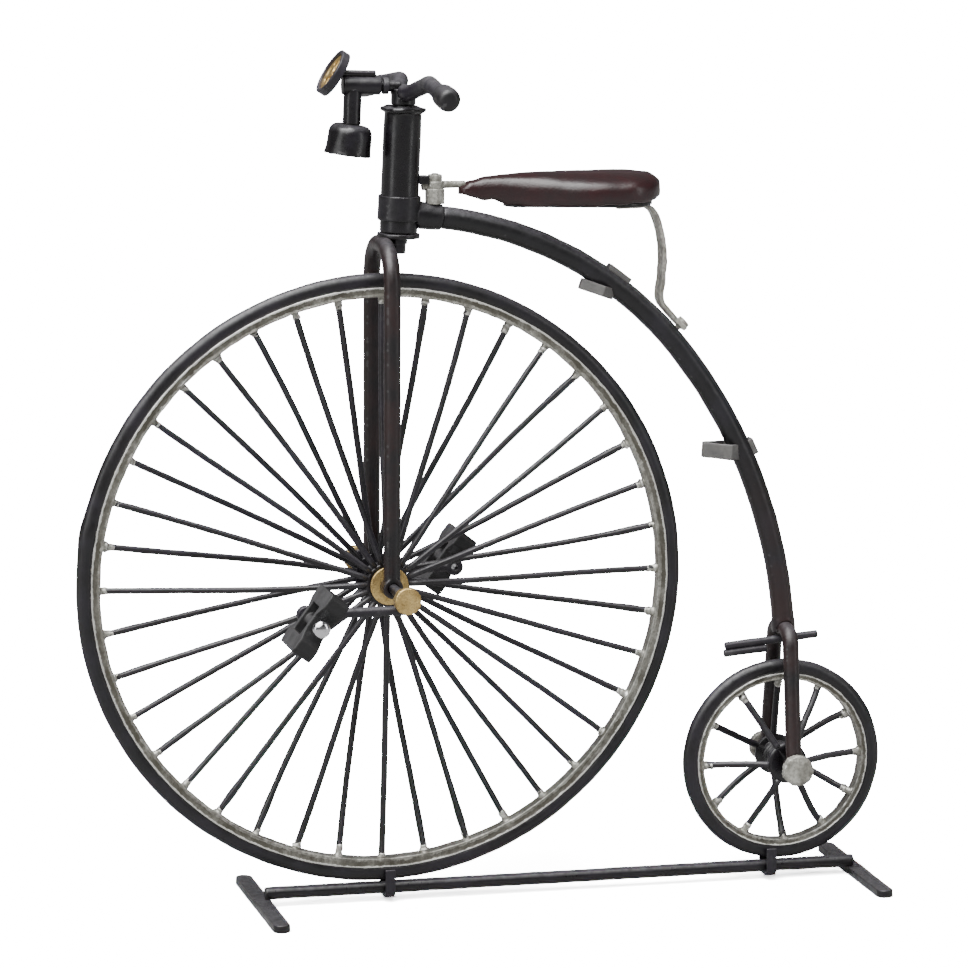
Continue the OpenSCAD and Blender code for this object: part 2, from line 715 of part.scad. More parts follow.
// A large nut under the saddle's front bar and a small one over it, each with a flat to the front
module saddle_stud_nuts() {
    color(silver) difference() {
        translate([stud_x, 0, 0]) rotate(30) {
            translate([0, 0, nose_z - nose_bar_r - stud_nut_t - bite]) hex_nut(stud_nut_r, stud_nut_t + bite);
            translate([0, 0, nose_z + nose_bar_r]) hex_nut(top_nut_r, top_nut_t);
        }
        stud_shank();
        head_sleeve();
    }
}

// The saddle's front bar, flattened to an eye around the stud
module nose_bar_outline() {
    translate([0, 0, nose_z]) rod_x(nose_bar_r, stud_x - nose_bar_front, saddle_x + 1.5 - stud_x + nose_bar_front);
    translate([stud_x, 0, nose_z - nose_bar_r]) cylinder(r = nose_eye_r, h = nose_bar_r * 2);
}
module saddle_nose_bar() {
    color(silver) difference() {
        nose_bar_outline();
        stud_shank();
    }
}
module nose_nut_outline() {
    translate([stud_x - nose_bar_front - 0.1, 0, nose_z]) rotate([0, 90, 0]) hex_nut(nose_nut_r, nose_nut_t);
}
module saddle_nose_nut() {
    color(silver) difference() {
        nose_nut_outline();
        nose_bar_outline();
    }
}

// ---- Steering ----
module fork_crown_rod() {
    translate([axle_x, 0, crown_z]) rod_y(fork_r, -fork_half, fork_half * 2);
}
module front_fork() {
    up = crown_z - axle_z;
    color(iron) at_front() difference() {
        union() {
            upright_yz() bent_bar([[-fork_half, 0], [-fork_half, up], [fork_half, up], [fork_half, 0]],
                crown_bend) circle(fork_r);
            rods_both_sides(fork_eye_r, fork_half - fork_r, fork_d);
        }
        rod_y(front_axle_r + run_fit, -fork_half * 2, fork_half * 4);
    }
}
// The post inside the head tube, with the plate that is welded on the fork's crown
module steerer() {
    color(iron) difference() {
        at_head() union() {
            cylinder(r = plate_r, h = plate_t);
            cylinder(r = steerer_r, h = stem_foot);
        }
        fork_crown_rod();
    }
}
module steerer_bolt() {
    color(iron) difference() {
        at_head() union() {
            translate([0, 0, -1.3]) hex_nut(2.1, 1.3);
            translate([0, 0, -3.4]) hex_nut(1.8, 2.1);
        }
        fork_crown_rod();
    }
}
module stem() {
    color(iron) at_head() difference() {
        translate([0, 0, stem_foot]) cylinder(r = stem_r, h = stem_top - stem_foot);
        translate([0, 0, bar_up]) rotate(bar_lie) rod_y(bar_r, -stem_d, stem_d * 2);
    }
}
// The bar's own plane, in Y and a height that leans back
module at_bar() {
    at_head() translate([0, 0, bar_up]) rotate(bar_lie) rotate([0, bar_tilt, 0]) children();
}
bar_path = [[-bar_half, end_rise], [-hump_at, hump_rise], [-bar_flat, 0], [bar_flat, 0],
    [hump_at, hump_rise], [bar_half, end_rise]];
module handlebar() {
    color(iron) at_bar() upright_yz() bent_bar(bar_path, bar_bend) circle(bar_r);
}
module grip(side) {
    slope = atan2(end_rise - hump_rise, bar_half - hump_at);
    color(iron) at_bar() translate([0, side * bar_half, end_rise]) rotate([-side * -slope, 0, 0])
        difference() {
            rod_y(grip_r, side > 0 ? -grip_len : -0.4, grip_len + 0.4);
            rod_y(bar_r, side > 0 ? -grip_len - 1 : 0, grip_len + 1);
        }
}
module left_grip() { grip(left); }
module right_grip() { grip(right); }

// ---- Lamp and bell, on a round bracket in front of the stem ----
module lamp_bracket() {
    color(iron) at_head() translate([0, 0, bracket_up]) difference() {
        union() {
            rod_x(bracket_r, -bracket_front, bracket_front - bracket_back);
            rod_x(neck_r, -bracket_back, bracket_back);
        }
        translate([0, 0, stem_foot - bracket_up]) cylinder(r = stem_r, h = stem_top - stem_foot);
        translate([0, 0, bar_up - bracket_up]) rotate(bar_lie) rod_y(bar_r, -bar_flat, bar_flat * 2);
        translate([0, 0, lamp_up - bracket_up]) rod_x(lamp_rod_r, -lamp_reach, lamp_reach - bracket_back);
        translate([0, 0, stem_top - bracket_up]) translate([-stem_r * 0.3, -5, -10]) cube([10, 10, 20]);
    }
}
module bracket_band() {
    color(iron) at_head() translate([0, 0, bracket_up]) difference() {
        rod_x(band_r, -bracket_back + 0.5, 1.2);
        rod_x(neck_r, -bracket_back - 1, 4);
    }
}
// The lamp's own axis: +Z out of its face
module at_lamp() {
    at_head() translate([-lamp_reach, 0, lamp_up]) rotate([0, lamp_tilt - 90, 0]) children();
}
module lamp_rod() {
    color(iron) difference() {
        at_head() translate([0, 0, lamp_up]) rod_x(lamp_rod_r, -lamp_reach, lamp_reach - bracket_back - 1.2);
        at_lamp() translate([0, 0, -lamp_t / 2]) cylinder(d = lamp_d, h = 10);
    }
}
module lamp_ring() {
    color(iron) at_lamp() difference() {
        translate([0, 0, -lamp_t / 2]) cylinder(d = lamp_d, h = lamp_t);
        translate([0, 0, -lamp_t / 2 + 0.7]) cylinder(d = lamp_d - 2 * lamp_rim, h = lamp_t);
    }
}
// A pierced disc: a hub, a rim and six arms between
module lamp_face() {
    face_r = lamp_d / 2 - lamp_rim;
    color(brass) at_lamp() translate([0, 0, -lamp_t / 2 + 0.7]) {
        difference() {
            cylinder(r = face_r, h = 0.6);
            translate([0, 0, -1]) cylinder(r = face_r * 0.72, h = 3);
        }
        cylinder(r = face_r * 0.3, h = 0.9);
        for (i = [0 : 5]) rotate(i * 60) translate([face_r * 0.2, -0.4, 0]) cube([face_r * 0.6, 0.8, 0.6]);
    }
}
module bell_tube() {
    color(iron) at_head() difference() {
        translate([-bell_reach, 0, bell_top]) cylinder(d = bell_tube_d, h = bell_drop);
        translate([0, 0, bracket_up]) rod_x(bracket_r, -bracket_front - 1, bracket_front);
    }
}
// A cup with a rounded crown, open below
module bell_profile(r, h, round) {
    square([r - round, h]);
    square([r, h - round]);
    translate([r - round, h - round]) circle(round);
}
module bell_cup() {
    round = 2.2;
    color(iron) at_head() translate([-bell_reach, 0, bell_top]) rotate([0, bell_tilt, 0])
        translate([0, 0, -bell_h]) difference() {
            rotate_extrude() bell_profile(bell_r, bell_h, round);
            translate([0, 0, -0.01]) rotate_extrude() bell_profile(bell_r - bell_wall, bell_h - bell_wall, round - bell_wall);
            rotate([0, -bell_tilt, 0]) translate([0, 0, bell_h * cos(bell_tilt)]) cylinder(r = bell_tube_d, h = 3);
        }
}

// ---- Front wheel ----
front_step = 360 / (front_spokes / 2);
module front_tyre() { color(iron) at_front() tyre(front_r); }
module front_rim() { color(silver) at_front() rim(front_r, front_rim_in); }
module front_spokes_left() {
    color(iron) at_front()
        spokes(front_spokes / 2, 0, left, front_spoke_d, front_flange_r, front_flange_y, front_rim_in);
}
module front_spokes_right() {
    color(iron) at_front()
        spokes(front_spokes / 2, front_step / 2, right, front_spoke_d, front_flange_r, front_flange_y, front_rim_in);
}
module front_ferrules() {
    color(silver) at_front() {
        ferrules(front_spokes / 2, 0, left, front_spoke_d, front_flange_r, front_flange_y, front_rim_in);
        ferrules(front_spokes / 2, front_step / 2, right, front_spoke_d, front_flange_r, front_flange_y, front_rim_in);
    }
}
module front_hub() {
    color(iron) at_front() difference() {
        union() {
            rod_y(front_flange_r * 0.52, -front_hub_w / 2, front_hub_w);
            rods_both_sides(front_flange_r, front_hub_w / 2 - front_flange_t, front_flange_t);
        }
        rod_y(front_axle_r, -front_hub_w, front_hub_w * 2);
    }
}
module front_axle() { color(iron) at_front() rod_y(front_axle_r, -cap_y, cap_y * 2); }
module front_hub_washers() {
    color(brass) at_front() difference() {
        rods_both_sides(washer_r, fork_half - fork_r - gap - washer_t, washer_t);
        rod_y(front_axle_r, -fork_half, fork_half * 2);
    }
}
// fore is -1 where the crank points forward and 1 where it points back
module crank(side, fore) {
    y = side > 0 ? crank_inner : -cap_y;
    color(iron) at_front() difference() {
        union() {
            rod_y(crank_eye_r, y, crank_d);
            translate([fore * crank_len, 0, -crank_drop]) rod_y(pin_eye_r, y, crank_d);
            translate([0, y + crank_d / 2, -crank_drop])
                rod_x(crank_d / 2, fore > 0 ? -0.8 : -crank_len, crank_len + 0.8);
        }
        rod_y(front_axle_r, -cap_y - 1, cap_y * 2 + 2);
        translate([fore * crank_len, 0, -crank_drop]) rod_y(pin_d / 2, y - 1, crank_d + 2);
    }
}
module left_crank() { crank(left, -1); }
module right_crank() { crank(right, 1); }
module axle_cap(side) {
    color(brass) at_front() rod_y(front_cap_r, side > 0 ? cap_y : -cap_y - cap_t, cap_t);
}
module left_axle_cap() { axle_cap(left); }
module right_axle_cap() { axle_cap(right); }

module at_pedal(fore) { at_front() translate([fore * crank_len, 0, -crank_drop]) children(); }
module pedal_pin(side, fore) {
    color(silver) at_pedal(fore) mirror([0, side > 0 ? 0 : 1, 0]) {
        rod_y(pin_d / 2, crank_inner, pin_end - crank_inner);
        intersection() {
            translate([0, pin_end + pin_head_t - pin_head_r - 0.3, 0]) sphere(r = pin_head_r + 0.3);
            rod_y(pin_head_r, pin_end, pin_head_t);
        }
    }
}
module left_pedal_pin() { pedal_pin(left, -1); }
module right_pedal_pin() { pedal_pin(right, 1); }

// ---- Pedals ----
// A moulded block with a waist, a window and a tube across the window for the pin
module pedal(side, fore) {
    l = pedal_len / 2;
    w = pedal_w / 2;
    waist = w * 0.68;
    outline = [[-l, -w * 0.9], [-l + 0.8, -w], [-l + 3.2, -w], [-1.8, -waist], [1.8, -waist], [l - 3.2, -w],
        [l - 0.8, -w], [l, -w * 0.9]];
    color(iron) at_pedal(fore) translate([0, side * (pedal_in + w), 0]) rotate([0, -pedal_tilt, 0])
        difference() {
            union() {
                difference() {
                    translate([0, 0, -pedal_t / 2]) linear_extrude(pedal_t)
                        polygon(concat(outline, [for (i = [len(outline) - 1 : -1 : 0]) [outline[i][0], -outline[i][1]]]));
                    translate([-pedal_len * 0.24, -waist + 1.3, -pedal_t])
                        cube([pedal_len * 0.48, 2 * waist - 2.6, pedal_t * 2]);
                }
                rod_y(pin_d / 2 + run_fit + 0.7, -waist + 0.5, 2 * waist - 1);
            }
            rod_y(pin_d / 2 + run_fit, -pedal_w, pedal_w * 2);
        }
}
module left_pedal() { pedal(left, -1); }
module right_pedal() { pedal(right, 1); }

// ---- Rear wheel ----
rear_first = 2.5;
rear_step = 360 / (rear_spokes / 2);
module rear_tyre() { color(iron) at_rear() tyre(rear_r); }
module rear_rim() { color(silver) at_rear() rim(rear_r, rear_rim_in); }
module rear_spokes() {
    color(iron) at_rear() {
        spokes(rear_spokes / 2, rear_first, left, rear_spoke_d, rear_flange_r, rear_flange_y, rear_rim_in);
        spokes(rear_spokes / 2, rear_first + rear_step / 2, right, rear_spoke_d, rear_flange_r, rear_flange_y,
            rear_rim_in);
    }
}
module rear_ferrules() {
    color(silver) at_rear() {
        ferrules(rear_spokes / 2, rear_first, left, rear_spoke_d, rear_flange_r, rear_flange_y, rear_rim_in);
        ferrules(rear_spokes / 2, rear_first + rear_step / 2, right, rear_spoke_d, rear_flange_r, rear_flange_y,
            rear_rim_in);
    }
}
module rear_hub() {
    color(iron) at_rear() difference() {
        union() {
            rod_y(rear_flange_r * 0.72, -rear_hub_w / 2, rear_hub_w);
            rods_both_sides(rear_flange_r, rear_hub_w / 2 - rear_flange_t, rear_flange_t);
        }
        rod_y(rear_axle_r + run_fit, -rear_hub_w, rear_hub_w * 2);
    }
}

stand_rail();
stand_front_foot();
stand_rear_foot();
front_wheel_clip();
rear_wheel_clip();
head_tube();
head_lug();
backbone();
upper_step();
lower_step();
rear_fork();
rear_long_peg();
rear_short_peg();
rear_axle();
rear_axle_caps();
saddle_pad();
saddle_pan();
saddle_spring();
saddle_spring_bolt();
saddle_block();
saddle_stud();
saddle_stud_nuts();
saddle_nose_bar();
saddle_nose_nut();
front_fork();
steerer();
steerer_bolt();
stem();
handlebar();
left_grip();
right_grip();
lamp_bracket();
bracket_band();
lamp_rod();
lamp_ring();
lamp_face();
bell_tube();
bell_cup();
front_tyre();
front_rim();
front_spokes_left();
front_spokes_right();
front_ferrules();
front_hub();
front_axle();
front_hub_washers();
left_crank();
right_crank();
left_axle_cap();
right_axle_cap();
left_pedal_pin();
right_pedal_pin();
left_pedal();
right_pedal();
rear_tyre();
rear_rim();
rear_spokes();
rear_ferrules();
rear_hub();
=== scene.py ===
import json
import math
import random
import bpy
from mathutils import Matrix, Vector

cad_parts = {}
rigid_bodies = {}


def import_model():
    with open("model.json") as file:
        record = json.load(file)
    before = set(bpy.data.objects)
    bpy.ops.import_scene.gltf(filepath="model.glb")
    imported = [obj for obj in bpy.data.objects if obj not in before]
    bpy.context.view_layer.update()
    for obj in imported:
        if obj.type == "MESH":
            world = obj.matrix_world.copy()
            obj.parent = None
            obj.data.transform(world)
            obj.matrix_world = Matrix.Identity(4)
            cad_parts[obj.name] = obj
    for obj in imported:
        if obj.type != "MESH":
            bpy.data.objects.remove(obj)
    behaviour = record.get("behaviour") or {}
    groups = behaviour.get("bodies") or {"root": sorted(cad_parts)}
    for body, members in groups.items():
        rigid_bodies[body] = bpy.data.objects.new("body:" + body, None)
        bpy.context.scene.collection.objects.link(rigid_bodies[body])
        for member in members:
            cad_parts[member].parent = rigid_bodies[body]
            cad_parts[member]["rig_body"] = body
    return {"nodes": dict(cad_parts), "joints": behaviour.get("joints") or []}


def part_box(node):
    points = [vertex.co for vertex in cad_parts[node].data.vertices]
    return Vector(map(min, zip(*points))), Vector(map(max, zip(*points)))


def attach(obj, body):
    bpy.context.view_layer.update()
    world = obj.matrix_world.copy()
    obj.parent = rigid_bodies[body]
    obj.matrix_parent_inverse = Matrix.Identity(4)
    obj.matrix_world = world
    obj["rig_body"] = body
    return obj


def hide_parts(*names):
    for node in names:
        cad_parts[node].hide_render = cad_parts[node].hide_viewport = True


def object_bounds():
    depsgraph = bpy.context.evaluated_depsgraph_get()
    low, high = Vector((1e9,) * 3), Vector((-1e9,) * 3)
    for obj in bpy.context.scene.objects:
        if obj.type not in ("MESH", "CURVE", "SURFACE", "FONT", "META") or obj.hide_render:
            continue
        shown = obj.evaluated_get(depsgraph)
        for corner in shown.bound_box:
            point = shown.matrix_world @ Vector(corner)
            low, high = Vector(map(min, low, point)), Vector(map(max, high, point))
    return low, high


bl_info = {
    "name": "High-wheel bicycle miniature",
    "version": (1, 0, 0),
    "blender": (4, 5, 0),
    "location": "3D View > Sidebar > High wheel",
    "description": "Finishes a miniature high-wheel bicycle in painted iron, brass and leather",
    "category": "Object",
}

import bmesh
import bpy
from bpy.props import FloatProperty, FloatVectorProperty, IntProperty, PointerProperty
from mathutils import Euler, Matrix, Vector, noise

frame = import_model()
CAD_LOW, CAD_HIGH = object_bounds()
MM = 0.001
UP = Vector((0, 0, 1))
ACROSS = Vector((0, 1, 0))
ALONG_Y = Matrix.Rotation(-math.pi / 2, 4, "X")  # turns a shape made about +Z to lie along +Y
WELD = 0.0005 * MM  # points closer than this are one point


# ---- Sizes and colours that can be changed ----
def length(name, about, default, least=0.0, most=0.02):
    return FloatProperty(name=name, description=about, default=default, min=least, max=most,
                         unit="LENGTH", precision=5)


def angle(name, about, degrees):
    return FloatProperty(name=name, description=about, default=math.radians(degrees), subtype="ANGLE")


def colour(name, about, default):
    return FloatVectorProperty(name=name, description=about, default=default, min=0.0, max=1.0,
                               size=3, subtype="COLOR")


def share(name, about, default, most=1.0):
    return FloatProperty(name=name, description=about, default=default, min=0.0, max=most)


class WheelSettings(bpy.types.PropertyGroup):
    tyre_lumps: length("Tyre lumps", "How far the tyre cord swells and sinks", 0.09 * MM)
    seam_swell: length("Seam swell", "How far the front tyre stands out where its cord is joined", 0.45 * MM)
    seam_angle: angle("Seam angle", "Place of the cord's join, from the rear, upwards", 169)
    tyre_depth: share("Tyre depth", "Radial thickness of the tyre cord, as a share of its width", 1.24, 2.0)
    rim_drop: length("Rim drop", "How far the rims' silver stops short of their full depth", 0.55 * MM)
    rim_round: length("Rim edge", "Radius of the rims' worn edges", 0.35 * MM)
    rim_lumps: length("Rim lumps", "Unevenness of the rims", 0.08 * MM)
    front_bow: length("Front spoke bow", "How far a front spoke is bent off its straight line", 0.5 * MM)
    rear_bow: length("Rear spoke bow", "How far a rear spoke is bent off its straight line", 0.42 * MM)
    spoke_paint: share("Spoke paint", "Thickness of a painted spoke, as a share of its bare wire", 1.27, 2.0)
    solder_flare: share("Solder flare", "Spread of the solder at a rim, as a share of the spoke", 0.95, 3.0)
    seed: IntProperty(name="Seed", description="Start of the spokes' random bends", default=11)


class IronSettings(bpy.types.PropertyGroup):
    lump_depth: length("Lumps", "Unevenness of hand-worked rod and strap", 0.07 * MM)
    lump_size: length("Lump size", "Distance between lumps", 4.5 * MM)
    lip_overhang: length("Lip", "How far the soldered lip stands out from the head tube", 0.62 * MM)
    lip_ragged: length("Lip raggedness", "Unevenness of the soldered lip", 0.42 * MM)


class SaddleSettings(bpy.types.PropertyGroup):
    wave: length("Wave", "Depth of the low points under the saddle", 0.8 * MM)
    crown: length("Crown", "Rise of the saddle's middle over its edges", 0.7 * MM)
    cup: length("Cup", "Depth of the hollow under the saddle, around its plate", 1.3 * MM)


class FinishSettings(bpy.types.PropertyGroup):
    black: colour("Black", "Black enamel", (0.0040, 0.0032, 0.0042))
    russet: colour("Russet", "Brown tinge of the enamel over the forks", (0.0150, 0.0052, 0.0052))
    steel_blue: colour("Blue grey", "Cool sheen in the enamel", (0.0105, 0.0082, 0.0135))
    # Sheen is a painted highlight: the pale band where the overhead light falls on the enamel's upper faces.
    sheen: colour("Sheen", "Pale bloom on the enamel's upper faces", (0.150, 0.145, 0.158))
    strap: colour("Strap", "Bare grey of the steps' straps", (0.12, 0.117, 0.112))
    dust: colour("Dust", "Dust on the pedals and the bar", (0.060, 0.059, 0.061))
    silver: colour("Silver", "Silver paint", (0.47, 0.465, 0.42))
    silver_shade: colour("Silver shade", "Dirt and bare patches in the silver paint", (0.092, 0.086, 0.067))
    silver_edge: colour("Silver edge", "Bright worn edges of the silver paint", (0.86, 0.86, 0.82))
    # Colour laid into the hollow corners of the silver paint, darkening them.
    silver_hollow_dark: colour("Silver grime", "Dirt in the corners of the silver paint", (0.03, 0.025, 0.02))
    # A painted highlight: the bright line laid along each rim's outer edge.
    rim_highlight: colour("Rim edge", "Bright outer edge of the rims", (0.86, 0.86, 0.81))
    brass: colour("Brass", "Raw brass", (0.80, 0.575, 0.235))
    brass_shade: colour("Brass shade", "Tarnish on the brass", (0.27, 0.165, 0.055))
    # Colour laid into the hollow corners of the brass, darkening them.
    brass_hollow_dark: colour("Brass grime", "Dirt in the corners of the brass", (0.05, 0.028, 0.01))
    chrome: colour("Chrome", "Plated pin heads", (0.80, 0.80, 0.82))
    chrome_spots: colour("Chrome spots", "Dull spots on the plating", (0.05, 0.05, 0.055))
    pedal: colour("Pedal", "Moulded pedal", (0.0060, 0.0056, 0.0062))
    leather: colour("Leather", "Saddle leather", (0.024, 0.0050, 0.0062))
    leather_dark: colour("Leather shade", "Dark patches of the leather", (0.0085, 0.0040, 0.0044))
    leather_worn: colour("Leather edge", "Rubbed edges of the leather", (0.05, 0.014, 0.014))


class StageSettings(bpy.types.PropertyGroup):
    camera_place: FloatVectorProperty(name="Camera", description="Where the camera stands", size=3,
                                      default=(-0.2561, -1.0389, 0.2777), subtype="TRANSLATION", unit="LENGTH")
    heading: angle("Heading", "Turn of the camera from straight across the bicycle", -13.81)
    tilt: angle("Tilt", "How far the camera looks down", 9.66)
    roll: angle("Roll", "Turn of the picture", 0.24)
    lens: FloatProperty(name="Lens", description="Focal length in millimetres", default=184.4, min=10, max=400)
    shift_x: FloatProperty(name="Shift X", description="Sideways shift of the lens", default=0.0005)
    shift_y: FloatProperty(name="Shift Y", description="Upward shift of the lens", default=-0.0141)
    key: share("Key", "Strength of the broad light over the left shoulder", 5.0, 50)
    fill: share("Fill", "Strength of the light from all round", 0.16, 10)
    panel: share("Panels", "Strength of the two upright soft panels", 1.6, 100)
    ceiling: share("Ceiling", "Strength of the broad soft light overhead", 7.0, 100)
    white: share("White", "Brightness of the backdrop as it is seen", 30.0, 100)
    floor_white: share("Floor white", "Brightness of the floor as it is seen", 12.0, 100)
    floor_bounce: share("Floor bounce", "Light that the floor gives back to the bicycle", 0.30, 1)


# ---- Measuring the frame ----
def points_of(node):
    return [v.co.copy() for v in frame["nodes"][node].data.vertices]


def mean(points):
    return sum(points, Vector()) / len(points)


def middle(node):
    low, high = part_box(node)
    return (low + high) / 2


def disc(low, high):
    """Centre, radius and half width of the round shape that fills a box across the bicycle"""
    return (low + high) / 2, (high.z - low.z) / 2, (high.y - low.y) / 2


def local_box(node, place):
    """A node's lowest and highest corner along the axes of place, which may be tilted"""
    back = place.inverted()
    points = [back @ p for p in points_of(node)]
    low = Vector([min(p[i] for p in points) for i in range(3)])
    high = Vector([max(p[i] for p in points) for i in range(3)])
    return low, high


def off_axle(point, centre):
    return math.hypot(point.x - centre.x, point.z - centre.z)


def reach(node, centre):
    """Least and greatest distance of a node's points from a cross axle"""
    far = [off_axle(p, centre) for p in points_of(node)]
    return min(far), max(far)


def islands(bm):
    """The separate solids in a mesh, as lists of points"""
    left = set(bm.verts)
    groups = []
    while left:
        heap = [left.pop()]
        found = []
        while heap:
            v = heap.pop()
            found.append(v.co.copy())
            for e in v.link_edges:
                other = e.other_vert(v)
                if other in left:
                    left.remove(other)
                    heap.append(other)
        groups.append(found)
    return groups


def rods_in(node, centre):
    """Inner end, outer end and radius of each rod in a node, in order round a wheel's centre"""
    bm = solid_copy(node)
    rods = []
    for points in islands(bm):
        limit = (mean(points) - centre).length
        near = [p for p in points if (p - centre).length < limit]
        start = mean(near)
        end = mean([p for p in points if (p - centre).length >= limit])
        line = (end - start).normalized()
        radius = max(((p - start) - line * (p - start).dot(line)).length for p in near)
        rods.append((start, end, radius))
    bm.free()
    rods.sort(key=lambda rod: math.atan2(rod[1].z - centre.z, rod[1].x - centre.x))
    return rods


def aligned(start, axis):
    """Axes at a point, with +Z along axis"""
    return Matrix.Translation(start) @ UP.rotation_difference(axis.normalized()).to_matrix().to_4x4()


def steering_place():
    """Axes on the steering joint, with +Z along it"""
    joint = next(j for j in frame["joints"] if j["name"] == "steer")
    return aligned(Vector(joint["pos_m"]), Vector(joint["axis"]))


# ---- Shaping ----
def solid_copy(node):
    bm = bmesh.new()
    bm.from_mesh(frame["nodes"][node].data)
    bmesh.ops.remove_doubles(bm, verts=bm.verts, dist=WELD)
    return bm


def reskin(bm, grain):
    """The same solid under an even skin of small faces, so that its edges can be worn round"""
    bmesh.ops.scale(bm, vec=Vector((1 / MM,) * 3), verts=bm.verts)
    work = bpy.data.objects.new("work", bpy.data.meshes.new("work"))
    bm.to_mesh(work.data)
    bm.free()
    bpy.context.scene.collection.objects.link(work)
    skin = work.modifiers.new("skin", "REMESH")
    skin.mode = "VOXEL"
    skin.voxel_size = grain / MM
    made = bmesh.new()
    made.from_object(work, bpy.context.evaluated_depsgraph_get())
    mesh = work.data
    bpy.data.objects.remove(work)
    bpy.data.meshes.remove(mesh)
    bmesh.ops.scale(made, vec=Vector((MM,) * 3), verts=made.verts)
    return made


def soften(bm, passes, swell=0.0):
    for _ in range(passes):
        bmesh.ops.smooth_vert(bm, verts=bm.verts, factor=0.5, use_axis_x=True, use_axis_y=True, use_axis_z=True)
    bm.normal_update()
    for v in bm.verts:
        v.co += v.normal * swell


def roughen(bm, depth, size, seed=0.0, where=None):
    """Moves points in or out by smooth noise; where(point) may give a share from 0 to 1"""
    bm.normal_update()
    start = Vector((3.7, 1.3, 5.1)) * seed
    for v in bm.verts:
        part = where(v.co) if where else 1.0
        if part:
            v.co += v.normal * depth * part * noise.noise(v.co / size + start)


def spun(outline, closed=False, steps=64):
    """An outline of (radius, height) pairs turned about +Z"""
    bm = bmesh.new()
    verts = [bm.verts.new((r, 0, z)) for r, z in outline]
    pairs = list(zip(verts, verts[1:])) + ([(verts[-1], verts[0])] if closed else [])
    edges = [bm.edges.new(pair) for pair in pairs]
    bmesh.ops.spin(bm, geom=verts + edges, cent=(0, 0, 0), axis=(0, 0, 1), angle=2 * math.pi,
                   steps=steps, use_merge=True, use_duplicate=False)
    bmesh.ops.remove_doubles(bm, verts=bm.verts, dist=WELD)
    return settle(bm)


def rounded(corners, radius, steps=4, closed=True):
    """An outline with each corner cut to an arc; a corner may carry its own radius"""
    outline = []
    count = len(corners)
    for i, corner in enumerate(corners):
        here = Vector(corner[:2])
        if not closed and i in (0, count - 1):
            outline.append(tuple(here))
            continue
        cut = corner[2] if len(corner) > 2 else radius
        back = Vector(corners[i - 1][:2]) - here
        ahead = Vector(corners[(i + 1) % count][:2]) - here
        cut = min(cut, back.length * 0.49, ahead.length * 0.49)
        start = here + back.normalized() * cut
        end = here + ahead.normalized() * cut
        for k in range(steps + 1):
            t = k / steps
            bend = start * (1 - t) ** 2 + here * 2 * t * (1 - t) + end * t ** 2
            outline.append(tuple(bend))
    return outline


def evened(outline, most, closed=False):
    """The outline with points added, so that none stand further apart than most"""
    fine = []
    for here, there in zip(outline, outline[1:] + outline[:1] * closed):
        here, there = Vector(here), Vector(there)
        count = max(1, math.ceil((there - here).length / most))
        fine += [tuple(here + (there - here) * i / count) for i in range(count)]
    return fine + ([] if closed else [outline[-1]])


def along(path):
    """Each point of a path with the direction in which the path runs there"""
    last = len(path) - 1
    for i, point in enumerate(path):
        yield point, (path[min(i + 1, last)] - path[max(i - 1, 0)]).normalized()


def draw_rings(bm, places, sides):
    """A tube with a ring of points at each place, and its ends filled"""
    ring = bmesh.ops.create_circle(bm, segments=sides, radius=1.0, matrix=places[0])["verts"]
    edges = list({e for v in ring for e in v.link_edges})
    first = edges
    for before, after in zip(places, places[1:]):
        grown = bmesh.ops.extrude_edge_only(bm, edges=edges)["geom"]
        verts = [g for g in grown if isinstance(g, bmesh.types.BMVert)]
        edges = [g for g in grown if isinstance(g, bmesh.types.BMEdge)]
        bmesh.ops.transform(bm, matrix=after @ before.inverted(), verts=verts)
    bmesh.ops.edgeloop_fill(bm, edges=first)
    bmesh.ops.edgeloop_fill(bm, edges=edges)


def draw_bar(bm, path, radii, sides=12):
    """A round bar along a path, turned as little as possible from one ring to the next"""
    places = []
    side = None
    for (point, ahead), radius in zip(along(path), radii):
        side = side or ahead.orthogonal()
        side = (side - ahead * side.dot(ahead)).normalized()
        turn = Matrix((side, ahead.cross(side), ahead)).transposed().to_4x4()
        places.append(Matrix.Translation(point) @ turn @ Matrix.Scale(radius, 4))
    draw_rings(bm, places, sides)


def draw_strip(bm, path, wide, thick):
    """A flat strip along a path in the centre plane"""
    square = (Matrix.Diagonal((wide / math.sqrt(2), thick / math.sqrt(2), 1, 1))
              @ Matrix.Rotation(math.pi / 4, 4, "Z"))
    places = []
    for point, ahead in along(path):
        turn = Matrix((ACROSS, ahead.cross(ACROSS), ahead)).transposed().to_4x4()
        places.append(Matrix.Translation(point) @ turn @ square)
    draw_rings(bm, places, 4)


def smooth_path(points, steps=8):
    """A smooth curve through all of the points"""
    points = [points[0] * 2 - points[1]] + points + [points[-1] * 2 - points[-2]]
    path = []
    for a, b, c, d in zip(points, points[1:], points[2:], points[3:]):
        for i in range(steps):
            t = i / steps
            path.append((b * 2 + (c - a) * t + (a * 2 - b * 5 + c * 4 - d) * t ** 2
                         + (b * 3 - a - c * 3 + d) * t ** 3) / 2)
    return path + [points[-2]]


def settle(bm, place=None):
    """Puts a shape in its place and turns its faces outwards"""
    if place:
        bmesh.ops.transform(bm, matrix=place, verts=bm.verts)
    bmesh.ops.recalc_face_normals(bm, faces=bm.faces)
    return bm


def piece(name, bm, finish, node, crisp=None):
    """Makes the mesh a piece that rides on its node's body and stands for it"""
    mesh = bpy.data.meshes.new(name)
    bm.to_mesh(mesh)
    bm.free()
    mesh.materials.append(bpy.data.materials[finish])
    for face in mesh.polygons:
        face.use_smooth = True
    if crisp:
        mesh.set_sharp_from_angle(angle=math.radians(crisp))
    made = bpy.data.objects.new(name, mesh)
    bpy.context.scene.collection.objects.link(made)
    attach(made, frame["nodes"][node]["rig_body"])
    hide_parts(node)
    return made


